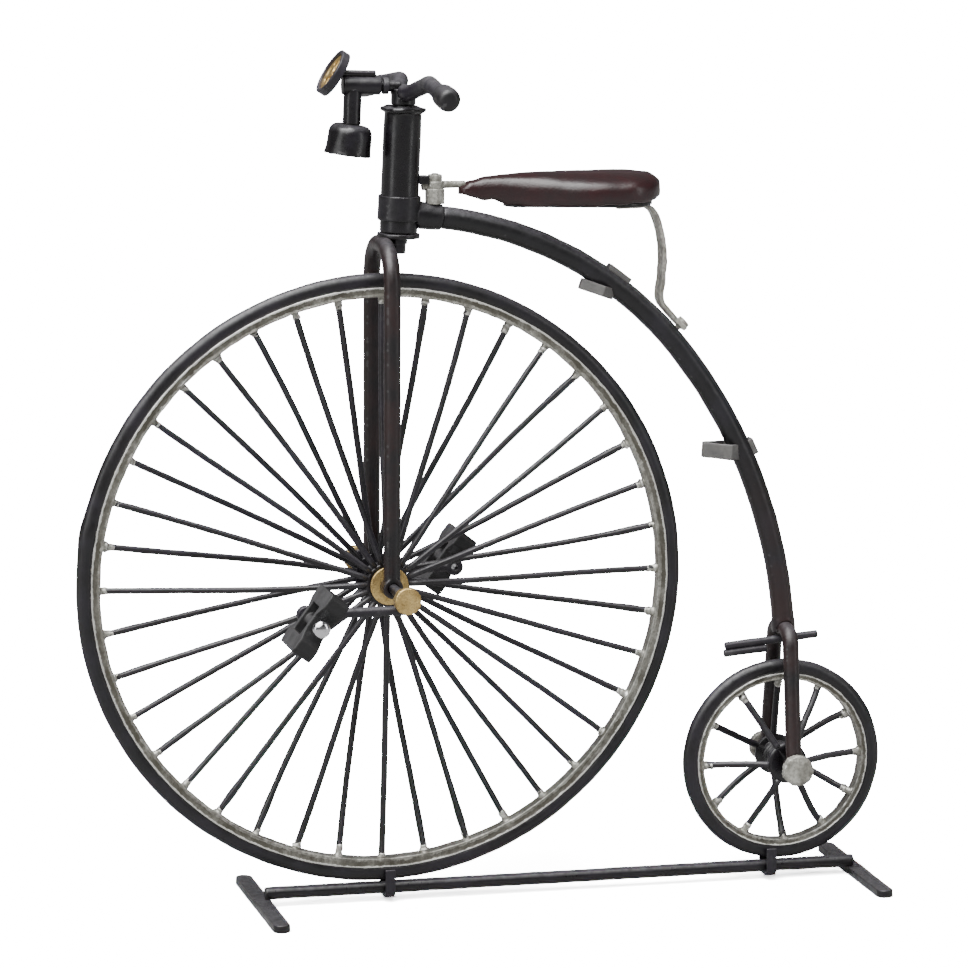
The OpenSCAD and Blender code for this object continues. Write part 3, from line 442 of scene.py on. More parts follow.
def worked(node, finish, grain=0.2, passes=3, swell=0.03, lumps=1.0):
    """A node's own solid, worn round and uneven from hand work; grain and swell are in millimetres"""
    iron = bpy.context.scene.iron_settings
    bm = reskin(solid_copy(node), grain * MM)
    soften(bm, passes, swell * MM)
    roughen(bm, iron.lump_depth * lumps, iron.lump_size, 1.0)
    roughen(bm, iron.lump_depth * lumps * 0.35, iron.lump_size * 0.3, 2.0)
    return piece(node + "_worked", bm, finish, node)


# ---- Node trees ----
def is_socket(value):
    return isinstance(value, bpy.types.NodeSocket)


def add(tree, kind, values=None, **settings):
    """A shader node with the given values or links on its inputs"""
    made = tree.nodes.new("ShaderNode" + kind)
    for key, value in settings.items():
        setattr(made, key, value)
    for socket, value in (values or {}).items():
        if is_socket(value):
            tree.links.new(value, made.inputs[socket])
        else:
            made.inputs[socket].default_value = value
    return made


def calc(kind, a, b, clamp=False):
    """A Math node, in the tree of whichever value is a socket"""
    tree = (a if is_socket(a) else b).id_data
    return add(tree, "Math", {0: a, 1: b}, operation=kind, use_clamp=clamp).outputs[0]


def times(a, b, clamp=False):
    return calc("MULTIPLY", a, b, clamp)


def plus(a, b):
    return calc("ADD", a, b)


def minus(a, b, clamp=False):
    return calc("SUBTRACT", a, b, clamp)


def ranged(value, low, high, ease="LINEAR"):
    """0 at low, 1 at high and in between in proportion"""
    return add(value.id_data, "MapRange", {"Value": value, "From Min": low, "From Max": high},
               interpolation_type=ease).outputs[0]


def scaled(value, low, high):
    """A value from 0 to 1 brought to the run from low to high"""
    return add(value.id_data, "MapRange", {"Value": value, "To Min": low, "To Max": high}).outputs[0]


def coords_in(tree):
    return add(tree, "TexCoord").outputs["Object"]


def grain_of(size, vector=None, **values):
    """Noise with grains about size across, on the object's own coordinates if no others are given"""
    tree = size.id_data
    if vector is None:
        vector = coords_in(tree)
    values = {"Vector": vector, "Scale": calc("DIVIDE", 1.0, size), **values}
    return add(tree, "TexNoise", values, noise_dimensions="4D" if "W" in values else "3D").outputs[0]


def new_group(name, inputs, *outputs):
    """An empty node group; gives its inputs and a function that sets its outputs"""
    tree = bpy.data.node_groups.new(name, "ShaderNodeTree")
    for label, default in inputs.items():
        kind = "NodeSocketVector" if hasattr(default, "__len__") else "NodeSocketFloat"
        tree.interface.new_socket(label, in_out="INPUT", socket_type=kind).default_value = default
    for label in outputs:
        tree.interface.new_socket(label, in_out="OUTPUT", socket_type="NodeSocketFloat")
    given = tree.nodes.new("NodeGroupInput").outputs
    end = tree.nodes.new("NodeGroupOutput").inputs

    def give(**values):
        for label, value in values.items():
            tree.links.new(value, end[label])

    return given, give


def build_mottle_group():
    """Smooth patches of a given size in metres, with a soft or a hard border"""
    given, give = new_group("Mottle", {"Size": 0.004, "Level": 0.5, "Softness": 0.15, "Seed": 0.0},
                            "Mask", "Height")
    grain = grain_of(given["Size"], W=given["Seed"], Detail=4.0, Roughness=0.6)
    level, soft = given["Level"], given["Softness"]
    give(Mask=ranged(grain, minus(level, soft), plus(level, soft), ease="SMOOTHSTEP"), Height=grain)


def build_wear_group():
    """Worn edges and hollow corners, from how sharply the surface bends"""
    given, give = new_group("Wear", {"Edge": 0.53, "Corner": 0.47, "Size": 0.0008}, "Edges", "Corners")
    edge, corner = given["Edge"], given["Corner"]
    bend = add(edge.id_data, "NewGeometry").outputs["Pointiness"]
    shaken = plus(bend, times(minus(grain_of(given["Size"], Detail=3.0), 0.5), 0.06))
    give(Edges=ranged(shaken, edge, plus(edge, 0.05)), Corners=ranged(shaken, corner, minus(corner, 0.06)))


def build_specks_group():
    """Small round chips scattered over the surface"""
    given, give = new_group("Specks", {"Size": 0.002, "Amount": 0.12, "Seed": 0.0}, "Mask")
    size = given["Size"]
    tree = size.id_data
    cells = add(tree, "TexVoronoi", {"Vector": coords_in(tree), "Scale": calc("DIVIDE", 1.0, size),
                                     "W": given["Seed"]}, voronoi_dimensions="4D").outputs["Distance"]
    crowd = calc("POWER", grain_of(calc("DIVIDE", size, 0.35)), 3.0)
    chip = times(times(given["Amount"], crowd), 6.0)
    give(Mask=ranged(cells, chip, times(chip, 0.6)))


def build_streaks_group():
    """Streaks left by a brush or a file, drawn out along one axis"""
    given, give = new_group("Streaks", {"Size": 0.0006, "Stretch": (1.0, 1.0, 0.15), "Turn": (0.0, 0.0, 0.0)},
                            "Mask", "Height")
    tree = given["Size"].id_data
    turned = add(tree, "Mapping", {"Vector": coords_in(tree), "Rotation": given["Turn"],
                                   "Scale": given["Stretch"]}).outputs[0]
    grain = grain_of(given["Size"], turned, Detail=5.0, Roughness=0.65)
    give(Mask=ranged(grain, 0.42, 0.62), Height=grain)


def build_paint_line_group():
    """A wavering line around a wheel's axle: 1 inside the radius and 0 outside it"""
    given, give = new_group("Paint line", {"Centre": (0.0, 0.0, 0.0), "Radius": 0.06, "Waver": 0.0004,
                                           "Size": 0.003}, "Mask")
    tree = given["Size"].id_data
    offset = add(tree, "VectorMath", {0: coords_in(tree), 1: given["Centre"]}, operation="SUBTRACT").outputs[0]
    flat = add(tree, "VectorMath", {0: offset, 1: (1.0, 0.0, 1.0)}, operation="MULTIPLY").outputs[0]
    far = add(tree, "VectorMath", {0: flat}, operation="LENGTH").outputs["Value"]
    shift = times(minus(grain_of(given["Size"], Detail=4.0, Roughness=0.7), 0.5), given["Waver"])
    edge = plus(given["Radius"], times(shift, 4.0))
    sharpness = 12000.0  # how steeply the mask falls at the line, per metre
    give(Mask=times(minus(edge, far), sharpness, clamp=True))


# ---- Finishes ----
class Coat:
    """A material being built up: its tree, its shader and its tone so far; sizes are in millimetres"""

    def __init__(self, name, tone):
        material = bpy.data.materials.new(name)
        material.use_nodes = True
        self.tree = material.node_tree
        self.tree.nodes.clear()
        self.shader = add(self.tree, "BsdfPrincipled")
        add(self.tree, "OutputMaterial", {0: self.shader.outputs[0]})
        self.tone = (*tone, 1.0)

    def group(self, name, **values):
        made = self.tree.nodes.new("ShaderNodeGroup")
        made.node_tree = bpy.data.node_groups[name]
        for label, value in values.items():
            made.inputs[label].default_value = value
        return made.outputs

    def mottle(self, size, level, softness, seed):
        return self.group("Mottle", Size=size * MM, Level=level, Softness=softness, Seed=seed)

    def wear(self, edge, corner, size):
        return self.group("Wear", Edge=edge, Corner=corner, Size=size * MM)

    def streaks(self, size, stretch, turn=0.0):
        return self.group("Streaks", Size=size * MM, Stretch=(1.0, 1.0, stretch), Turn=(0.0, turn, 0.0))

    def paint_line(self, centre, radius, waver, size):
        return self.group("Paint line", Centre=centre, Radius=radius, Waver=waver * MM, Size=size * MM)["Mask"]

    def own(self, output):
        return add(self.tree, "TexCoord").outputs[output]

    def cover(self, mask, colour, amount=1.0):
        """Lays a colour over the tone where the mask is bright"""
        mix = add(self.tree, "Mix", {0: times(mask, amount), 6: self.tone, 7: (*colour, 1.0)}, data_type="RGBA")
        self.tone = mix.outputs[2]
        self.tree.links.new(self.tone, self.shader.inputs["Base Color"])

    def surface(self, gloss, height, depth, metal=0.0, coat=0.0):
        """Sets the roughness, the relief, and how far the surface is metal or clear coat"""
        inputs = self.shader.inputs
        self.tree.links.new(gloss, inputs["Roughness"])
        bump = add(self.tree, "Bump", {"Height": height, "Distance": depth * MM, "Strength": 1.0})
        self.tree.links.new(bump.outputs[0], inputs["Normal"])
        inputs["Metallic"].default_value = metal
        inputs["Coat Weight"].default_value = coat
        inputs["Coat Roughness"].default_value = 0.2


def enamel(name, base, tinge, level=0.55, shine=0.38, chips=0.05, depth=0.05, dusty=0.0, sheen=0.4):
    """Brushed-on enamel with patches of tinge, small chips, worn edges and a painted highlight, a pale sheen, on
    its upper faces
    """
    finish = bpy.context.scene.finish_settings
    coat = Coat(name, base)
    patches = coat.mottle(9, level, 0.13, seed=1)
    fine = coat.mottle(1.1, 0.5, 0.2, seed=4)
    chip = coat.group("Specks", Size=1.6 * MM, Amount=chips, Seed=2.0)["Mask"]
    coat.cover(patches["Mask"], tinge)
    coat.cover(fine["Mask"], [c * 0.4 for c in base], 0.35)
    coat.cover(coat.wear(0.545, 0.46, 0.7)["Edges"], finish.dust, 0.4 + dusty)
    rise = add(coat.tree, "SeparateXYZ", {0: coat.own("Normal")}).outputs["Z"]
    # Painted highlight: pale sheen laid over the upper faces, where the overhead light falls.
    coat.cover(times(ranged(rise, 0.3, 0.9), scaled(fine["Mask"], sheen, sheen * 0.45)), finish.sheen)
    coat.cover(chip, finish.silver_shade, 0.7)
    gloss = plus(scaled(patches["Height"], shine - 0.14, shine + 0.16), times(fine["Mask"], 0.12))
    height = plus(fine["Height"], times(coat.streaks(0.7, 0.3)["Height"], 0.9))
    coat.surface(gloss, minus(height, times(chip, 0.8)), depth, coat=0.12)
    return coat


def silver_paint(name, shade_level=0.56, metal=0.55, depth=0.07, turn=0.0):
    """Thick silver paint, brushed on, darker in its hollow corners and with bare patches"""
    finish = bpy.context.scene.finish_settings
    coat = Coat(name, finish.silver)
    fine = coat.mottle(0.6, 0.52, 0.12, seed=7)
    streaks = coat.streaks(0.9, 0.25, turn)
    wear = coat.wear(0.53, 0.485, 0.6)
    coat.cover(streaks["Mask"], finish.silver_shade, 0.3)
    coat.cover(coat.mottle(3.5, shade_level, 0.1, seed=2)["Mask"], finish.silver_shade, 0.55)
    coat.cover(fine["Mask"], finish.silver_shade, 0.4)
    # Darker in the hollow corners, found from how sharply the surface bends.
    coat.cover(wear["Corners"], finish.silver_hollow_dark, 0.9)
    coat.cover(wear["Edges"], finish.silver_edge, 0.6)
    height = plus(fine["Height"], times(streaks["Height"], 1.4))
    coat.surface(scaled(fine["Height"], 0.24, 0.6), height, depth, metal=metal)
    return coat


def rim_finish(rim):
    """Silver paint on a rim, darker and streaked along its middle, with a painted highlight along its outer edge
    """
    finish = bpy.context.scene.finish_settings
    coat = silver_paint(rim + "_silver", shade_level=0.5, metal=0.8, depth=0.12)
    centre = middle(rim)
    inner, outer = reach(rim, centre)
    outer -= bpy.context.scene.wheel_settings.rim_drop
    deep = outer - inner
    high = coat.paint_line(centre, outer - deep * 0.17, 0.25, 1.6)
    low = coat.paint_line(centre, inner + deep * 0.36, 0.35, 1.9)
    patch = scaled(coat.mottle(4.5, 0.47, 0.12, seed=21)["Mask"], 0.35, 1.0)
    coat.cover(times(minus(high, low, clamp=True), patch), finish.silver_shade, 0.9)
    # Painted highlight: a bright line along the rim's outer edge.
    coat.cover(minus(1.0, high, clamp=True), finish.rim_highlight, 0.75)


def brass_finish():
    finish = bpy.context.scene.finish_settings
    coat = Coat("raw_brass", finish.brass)
    fine = coat.mottle(0.4, 0.56, 0.1, seed=5)
    coat.cover(coat.mottle(2.2, 0.53, 0.14, seed=3)["Mask"], finish.brass_shade, 0.6)
    coat.cover(fine["Mask"], finish.brass_shade, 0.4)
    # Darker in the hollow corners, found from how sharply the surface bends.
    coat.cover(coat.wear(0.54, 0.48, 0.6)["Corners"], finish.brass_hollow_dark, 0.85)
    scratches = coat.streaks(0.35, 0.12, turn=0.9)["Height"]
    coat.surface(scaled(fine["Height"], 0.2, 0.52), plus(fine["Height"], times(scratches, 1.6)), 0.08, metal=0.9)


def chrome_finish():
    finish = bpy.context.scene.finish_settings
    coat = Coat("chrome_pin", finish.chrome)
    fine = coat.mottle(0.5, 0.5, 0.2, seed=6)["Height"]
    coat.cover(coat.mottle(1.3, 0.62, 0.05, seed=8)["Mask"], finish.chrome_spots)
    coat.surface(scaled(fine, 0.05, 0.22), fine, 0.02, metal=1.0)


def pedal_finish():
    """Matt moulded black with dust lying on the faces that slope up to the front"""
    finish = bpy.context.scene.finish_settings
    coat = Coat("pedal_black", finish.pedal)
    dust = coat.mottle(2.8, 0.46, 0.2, seed=9)["Mask"]
    fine = coat.mottle(0.5, 0.5, 0.2, seed=10)["Height"]
    facing = add(coat.tree, "VectorMath", {0: coat.own("Normal"), 1: (-0.8, 0.0, 0.6)},
                 operation="DOT_PRODUCT").outputs["Value"]
    coat.cover(times(ranged(facing, 0.72, 0.95), scaled(dust, 0.35, 0.8), clamp=True), finish.dust)
    coat.cover(coat.wear(0.52, 0.47, 0.6)["Edges"], finish.dust, 0.25)
    coat.surface(scaled(fine, 0.42, 0.68), fine, 0.04)


def leather_finish():
    """Polished burgundy leather with a fine pebbled grain"""
    finish = bpy.context.scene.finish_settings
    coat = Coat("burgundy_leather", finish.leather)
    pebble = add(coat.tree, "TexVoronoi", {"Vector": coat.own("Object"), "Scale": 1 / (0.42 * MM)},
                 feature="SMOOTH_F1").outputs["Distance"]
    patches = coat.mottle(6, 0.5, 0.2, seed=12)
    fine = coat.mottle(1.2, 0.55, 0.15, seed=13)
    coat.cover(patches["Mask"], finish.leather_dark, 0.7)
    coat.cover(fine["Mask"], finish.leather_dark, 0.3)
    coat.cover(coat.wear(0.52, 0.47, 0.9)["Edges"], finish.leather_worn, 0.25)
    coat.surface(scaled(patches["Height"], 0.22, 0.48), plus(times(pebble, 0.8), fine["Height"]), 0.05, coat=0.2)


def backbone_finish():
    """Black enamel that turns russet towards the backbone's lower end"""
    finish = bpy.context.scene.finish_settings
    # sheen=0.85 paints a strong highlight along the backbone's upper faces.
    coat = enamel("backbone_enamel", finish.black, finish.steel_blue, shine=0.33, chips=0.06, sheen=0.85)
    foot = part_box("backbone")[0].z
    height = add(coat.tree, "SeparateXYZ", {0: coat.own("Object")}).outputs["Z"]
    down = ranged(height, foot + 45 * MM, foot + 5 * MM)
    coat.cover(times(down, coat.mottle(6, 0.45, 0.2, seed=15)["Mask"]), finish.russet)


def tyre_finish(end):
    """A tyre's enamel, with the rim's silver paint run a little way over it"""
    finish = bpy.context.scene.finish_settings
    coat = enamel(end + "_tyre_enamel", finish.black, finish.steel_blue, level=0.52, shine=0.33)
    centre = middle(end + "_tyre")
    edge = reach(end + "_rim", centre)[1] - bpy.context.scene.wheel_settings.rim_drop - 0.1 * MM
    line = coat.paint_line(centre, edge, 0.4, 2.2)
    coat.cover(line, finish.silver, 0.9)
    coat.tree.links.new(times(line, 0.5), coat.shader.inputs["Metallic"])


class IRON_OT_finishes(bpy.types.Operator):
    """Makes the paints, metals and leather"""
    bl_idname = "iron.finishes"
    bl_label = "Finishes"

    def execute(self, context):
        for build in (build_mottle_group, build_wear_group, build_specks_group, build_streaks_group,
                      build_paint_line_group):
            build()
        finish = context.scene.finish_settings
        black, blue = finish.black, finish.steel_blue
        enamel("black_enamel", black, blue, level=0.56, shine=0.27)
        enamel("glossy_enamel", black, blue, level=0.6, shine=0.22, chips=0.03, depth=0.035)
        enamel("russet_enamel", black, finish.russet, level=0.46, shine=0.36, chips=0.07)
        enamel("dusty_enamel", blue, finish.dust, level=0.6, shine=0.42, dusty=0.35)
        enamel("wire_enamel", black, blue, level=0.5, shine=0.34, chips=0.04, depth=0.02)
        enamel("grip_black", black, blue, level=0.6, shine=0.4, chips=0.03, dusty=0.25)
        enamel("strap_enamel", finish.strap, finish.dust, level=0.6, chips=0.12, dusty=0.4)
        backbone_finish()
        for end in ("front", "rear"):
            tyre_finish(end)
            rim_finish(end + "_rim")
        silver_paint("silver_solder", shade_level=0.6, metal=0.75, depth=0.05)
        silver_paint("cream_silver", shade_level=0.52, metal=0.35, depth=0.13, turn=0.8)
        brass_finish()
        chrome_finish()
        pedal_finish()
        leather_finish()
        return {"FINISHED"}


# ---- Wheels ----
def make_tyre(node, swell=0.0):
    """A wheel's cord tyre, lumpy all round and swollen where its ends meet"""
    wheels = bpy.context.scene.wheel_settings
    centre, outer, thick = disc(*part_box(node))
    deep = thick * wheels.tyre_depth
    arc = [2 * math.pi * i / 24 for i in range(24)]
    outline = [(outer - deep + deep * math.cos(a), thick * math.sin(a)) for a in arc]
    bm = settle(spun(outline, closed=True, steps=360), Matrix.Translation(centre) @ ALONG_Y)
    roughen(bm, wheels.tyre_lumps, 5 * MM, 2.0)
    roughen(bm, wheels.tyre_lumps * 0.4, 1.6 * MM, 3.0)
    if swell:
        mid = outer - thick
        seam = centre + Vector((mid * math.cos(wheels.seam_angle), 0, mid * math.sin(wheels.seam_angle)))
        for v in bm.verts:
            v.co += v.normal * swell * math.exp(-((v.co - seam).length / (4 * MM)) ** 2)
    return piece(node + "_cord", bm, node + "_enamel", node)


def make_rim(node):
    """A rim with a shallow dish in each of its two faces"""
    wheels = bpy.context.scene.wheel_settings
    centre, _, half = disc(*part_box(node))
    inner, outer = reach(node, centre)
    edge = outer - wheels.rim_drop
    dished = half - 0.22 * MM
    wall = (edge - inner) / 3
    side = [(inner, half), (inner + wall, dished), (edge - wall * 0.8, dished), (edge, half)]
    corners = [(r, -y) for r, y in side] + side[::-1]
    bm = spun(rounded(corners, wheels.rim_round), closed=True, steps=300)
    settle(bm, Matrix.Translation(centre) @ ALONG_Y)
    roughen(bm, wheels.rim_lumps * 1.6, 3.5 * MM, 4.0)
    roughen(bm, wheels.rim_lumps * 1.2, 1.1 * MM, 5.0)
    return piece(node + "_band", bm, node + "_silver", node)


def make_spokes(node, rim, centre, bow, dice):
    """Bent wires from the hub to the rim, some of them caked with paint near the rim"""
    bm = bmesh.new()
    inner = reach(rim, centre)[0] + 0.3 * MM
    paint = bpy.context.scene.wheel_settings.spoke_paint
    steps = 24
    for start, end, radius in rods_in(node, centre):
        near, far = off_axle(start, centre), off_axle(end, centre)
        end = start + (end - start) * (inner - near) / (far - near)
        line = (end - start).normalized()
        cake = dice.choice((0, 0, 0, 0.14, 0.3))
        sideways = line.cross(ACROSS).normalized()
        outwards = line.cross(sideways)
        first, second, lean = [dice.uniform(-most, most) * bow for most in (1, 0.45, 0.35)]
        path = []
        radii = []
        for i in range(steps + 1):
            t = i / steps
            arch = math.sin(math.pi * t)
            across = first * arch + second * math.sin(2 * math.pi * t)
            radii.append(radius * (paint + cake * math.exp(-((t - 0.9) / 0.05) ** 2)))
            path.append(start + (end - start) * t + sideways * across + outwards * lean * arch)
        draw_bar(bm, path, radii, sides=10)
    roughen(settle(bm), 0.07 * MM, 1.6 * MM, 6.0)
    return piece(node + "_bent", bm, "wire_enamel", node)


def make_solder(node, centre, dice):
    """Tinned spoke ends that spread into a fillet on the rim"""
    bm = bmesh.new()
    flare = bpy.context.scene.wheel_settings.solder_flare
    steps = 16
    for start, end, radius in rods_in(node, centre):
        begin = start + (end - start) * dice.uniform(0.2, 0.62)
        spread = flare * dice.uniform(0.8, 1.5)
        blob = dice.choice((0, 0, 0.25, 0.55))
        where = dice.uniform(0.35, 0.7)
        path = [begin + (end - begin) * i / steps for i in range(steps + 1)]
        radii = [radius * (1.22 + spread * math.exp(-5.0 * (1 - i / steps))
                           + blob * math.exp(-((i / steps - where) / 0.14) ** 2)) for i in range(steps + 1)]
        radii[0] = radius * 1.12
        draw_bar(bm, path, radii, sides=14)
    roughen(settle(bm), 0.3 * MM, 0.9 * MM, 7.0)
    return piece(node + "_solder", bm, "silver_solder", node)


def make_wheel(end, spokes, bow, dice, swell=0.0):
    """A wheel's tyre, rim, spokes and tinned spoke ends"""
    centre = middle(end + "_tyre")
    make_tyre(end + "_tyre", swell)
    make_rim(end + "_rim")
    for node in spokes:
        make_spokes(node, end + "_rim", centre, bow, dice)
    make_solder(end + "_ferrules", centre, dice)


def make_ringed_hub(node):
    """A hub with turned rings along its barrel"""
    centre, flange, half = disc(*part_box(node))
    groove, crest = flange * 0.72 * 0.94, flange * 0.72 * 1.07
    bore = 1.08 * MM
    corners = [(bore, -half), (flange * 0.86, -half, 0.3 * MM), (flange, -half + 0.35 * MM, 0.3 * MM),
               (flange, -half + 1.15 * MM, 0.25 * MM), (groove, -half + 1.4 * MM, 0.15 * MM)]
    far_end = [(r, -y, *rest) for r, y, *rest in reversed(corners)]
    at = -half + 2.4 * MM
    while at < half - 2.6 * MM:
        corners += [(groove, at, 0.12 * MM), (crest, at + 0.25 * MM, 0.15 * MM),
                    (crest, at + 0.75 * MM, 0.15 * MM), (groove, at + 1.0 * MM, 0.12 * MM)]
        at += 1.6 * MM
    bm = spun(rounded(corners + far_end, 0.1 * MM, steps=3), closed=True, steps=72)
    settle(bm, Matrix.Translation(centre) @ ALONG_Y)
    roughen(bm, 0.06 * MM, 2 * MM, 19.0)
    piece(node + "_ringed", bm, "glossy_enamel", node)


class IRON_OT_front_wheel(bpy.types.Operator):
    """Makes the front wheel: tyre, rim, spokes, solder, hub, washers and axle"""
    bl_idname = "iron.front_wheel"
    bl_label = "Front wheel"

    def execute(self, context):
        wheels = context.scene.wheel_settings
        make_wheel("front", ("front_spokes_left", "front_spokes_right"), wheels.front_bow,
                   random.Random(wheels.seed), wheels.seam_swell)
        worked("front_hub", "black_enamel", 0.16)
        worked("front_hub_washers", "raw_brass", 0.11, passes=2, lumps=0.5)
        worked("front_axle", "black_enamel", 0.16)
        return {"FINISHED"}


class IRON_OT_rear_wheel(bpy.types.Operator):
    """Makes the rear wheel: tyre, rim, spokes, solder and hub"""
    bl_idname = "iron.rear_wheel"
    bl_label = "Rear wheel"

    def execute(self, context):
        wheels = context.scene.wheel_settings
        make_wheel("rear", ("rear_spokes",), wheels.rear_bow, random.Random(wheels.seed + 1))
        make_ringed_hub("rear_hub")
        return {"FINISHED"}


# ---- Cranks, caps, pins and pedals ----
def make_cap(low, high):
    """A hammered disc with a milled edge and a slightly domed face; low and high are its box"""
    centre, _, half = disc(low, high)
    radius = (high.x - low.x) / 2
    corners = [(0, -half * 1.04), (radius * 0.8, -half, 0.4 * MM), (radius, -half * 0.86, 0.25 * MM),
               (radius, half, 0.2 * MM), (0, half)]
    bm = spun(rounded(corners, 0.2 * MM, closed=False), steps=84)
    teeth = 28
    for v in bm.verts:
        if math.hypot(v.co.x, v.co.y) > radius * 0.93:
            v.co *= 1 + 0.014 * math.cos(math.atan2(v.co.y, v.co.x) * teeth)
    return settle(bm, Matrix.Translation(centre) @ ALONG_Y)


def make_pin(node, outward):
    """A pin with a domed head at its outer end; its inner end stops inside the crank"""
    low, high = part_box(node)
    centre = (low + high) / 2
    head = reach(node, centre)[1]
    run = high.y - low.y
    shank, inset, dome, edge = 0.8 * MM, 1.2 * MM, 1.5 * MM, 0.25 * MM
    arc = [math.pi / 2 * i / 8 for i in range(8)]
    outline = [(0, inset), (shank, inset), (shank, run - dome), (head * 0.9, run - dome)]
    outline += [(head * math.cos(a), run - dome + edge + (dome - edge) * math.sin(a)) for a in arc]
    bm = spun(outline + [(0, run)], steps=48)
    turn = ALONG_Y if outward > 0 else ALONG_Y.inverted()
    start = Vector((centre.x, low.y if outward > 0 else high.y, centre.z))
    return settle(bm, Matrix.Translation(start) @ turn)


class IRON_OT_cranks(bpy.types.Operator):
    """Makes the two cranks, the brass axle caps and the pedal pins"""
    bl_idname = "iron.cranks"
    bl_label = "Cranks"

    def execute(self, context):
        for side, outward in (("left", -1), ("right", 1)):
            worked(side + "_crank", "dusty_enamel", 0.15)
            cap = make_cap(*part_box(side + "_axle_cap"))
            roughen(cap, 0.16 * MM, 1.1 * MM, 8.0 + outward)
            piece(side + "_axle_cap_milled", cap, "raw_brass", side + "_axle_cap")
            pin = make_pin(side + "_pedal_pin", outward)
            piece(side + "_pedal_pin_domed", pin, "chrome_pin", side + "_pedal_pin", crisp=50)
        return {"FINISHED"}


class IRON_OT_pedals(bpy.types.Operator):
    """Makes the two moulded pedals"""
    bl_idname = "iron.pedals"
    bl_label = "Pedals"

    def execute(self, context):
        for side in ("left", "right"):
            worked(side + "_pedal", "pedal_black", 0.15, passes=4, lumps=0.6)
        return {"FINISHED"}


# ---- Fork, head and handlebar ----
class IRON_OT_front_fork(bpy.types.Operator):
    """Makes the front fork, with the steerer and its bolt"""
    bl_idname = "iron.front_fork"
    bl_label = "Front fork"

    def execute(self, context):
        worked("front_fork", "russet_enamel", 0.24, passes=4, swell=0.04)
        worked("steerer", "black_enamel", 0.16)
        worked("steerer_bolt", "dusty_enamel", 0.13)
        return {"FINISHED"}


class IRON_OT_head(bpy.types.Operator):
    """Makes the head tube with its ragged lip, and the lug round it"""
    bl_idname = "iron.head"
    bl_label = "Head"

    def execute(self, context):
        iron = context.scene.iron_settings
        place = steering_place()
        low, high = local_box("head_tube", place)
        foot, top = low.z, high.z
        lip = (high.x - low.x) / 2
        tube = lip - iron.lip_overhang
        bore = tube * 0.62
        drop = 0.9 * MM
        corners = [(bore, foot), (tube, foot, 0.2 * MM), (tube, top - drop * 1.5, 0.5 * MM),
                   (lip + 0.15 * MM, top - drop, 0.25 * MM), (lip + 0.1 * MM, top - drop * 0.3, 0.3 * MM),
                   (tube * 0.94, top, 0.3 * MM), (bore, top - 0.1 * MM)]
        outline = evened(rounded(corners, 0.2 * MM), 1.2 * MM, closed=True)
        bm = spun(outline, closed=True, steps=72)

        def lip_share(point):
            return max(0.0, min(1.0, (point.z - (top - 2.4 * MM)) / (1.2 * MM)))

        roughen(bm, iron.lip_ragged, 1.9 * MM, 9.0, lip_share)
        roughen(bm, iron.lump_depth * 1.3, 6 * MM, 10.0)
        piece("head_tube_lipped", settle(bm, place), "glossy_enamel", "head_tube")
        worked("head_lug", "black_enamel", 0.17, passes=4, lumps=1.4)
        return {"FINISHED"}


def grip_place(node, outward):
    """Axes at a grip's inner end, with +Z running outwards along it"""
    points = points_of(node)
    half_way = middle(node).y
    start = mean([p for p in points if (p.y - half_way) * outward < 0])
    end = mean([p for p in points if (p.y - half_way) * outward > 0])
    place = aligned(start, end - start)
    return place @ Matrix.Translation((0, 0, local_box(node, place)[0].z))


class IRON_OT_handlebar(bpy.types.Operator):
    """Makes the stem, the bent bar and its two grips"""
    bl_idname = "iron.handlebar"
    bl_label = "Handlebar"

    def execute(self, context):
        worked("stem", "black_enamel", 0.17)
        worked("handlebar", "dusty_enamel", 0.21, passes=4)
        for side, outward in (("left", -1), ("right", 1)):
            place = grip_place(side + "_grip", outward)
            low, high = local_box(side + "_grip", place)
            radius = (high.x - low.x) / 2
            run = high.z - low.z
            corners = [(radius * 0.66, 0.0), (radius * 0.9, 0.05 * MM, 0.2 * MM), (radius, 0.7 * MM, 0.3 * MM),
                       (radius, run - 1.1 * MM, 0.8 * MM), (radius * 0.66, run, 0.7 * MM), (0, run)]
            outline = [(0, 0.3 * MM)] + rounded(corners, 0.2 * MM, closed=False)
            bm = spun(evened(outline, 0.9 * MM), steps=40)
            roughen(bm, 0.1 * MM, 2.2 * MM, 11.0)
            piece(side + "_grip_rounded", settle(bm, place), "grip_black", side + "_grip")
        return {"FINISHED"}


# ---- Lamp and bell ----
class IRON_OT_lamp(bpy.types.Operator):
    """Makes the lamp with its pierced brass face, its rod and the bracket that carries it"""
    bl_idname = "iron.lamp"
    bl_label = "Lamp"

    def execute(self, context):
        worked("lamp_bracket", "black_enamel", 0.14, lumps=1.3)
        worked("bracket_band", "dusty_enamel", 0.11, passes=2)
        worked("lamp_rod", "black_enamel", 0.12, passes=2)
        worked("lamp_ring", "dusty_enamel", 0.13)
        worked("lamp_face", "raw_brass", 0.1, passes=2, lumps=0.4)
        return {"FINISHED"}


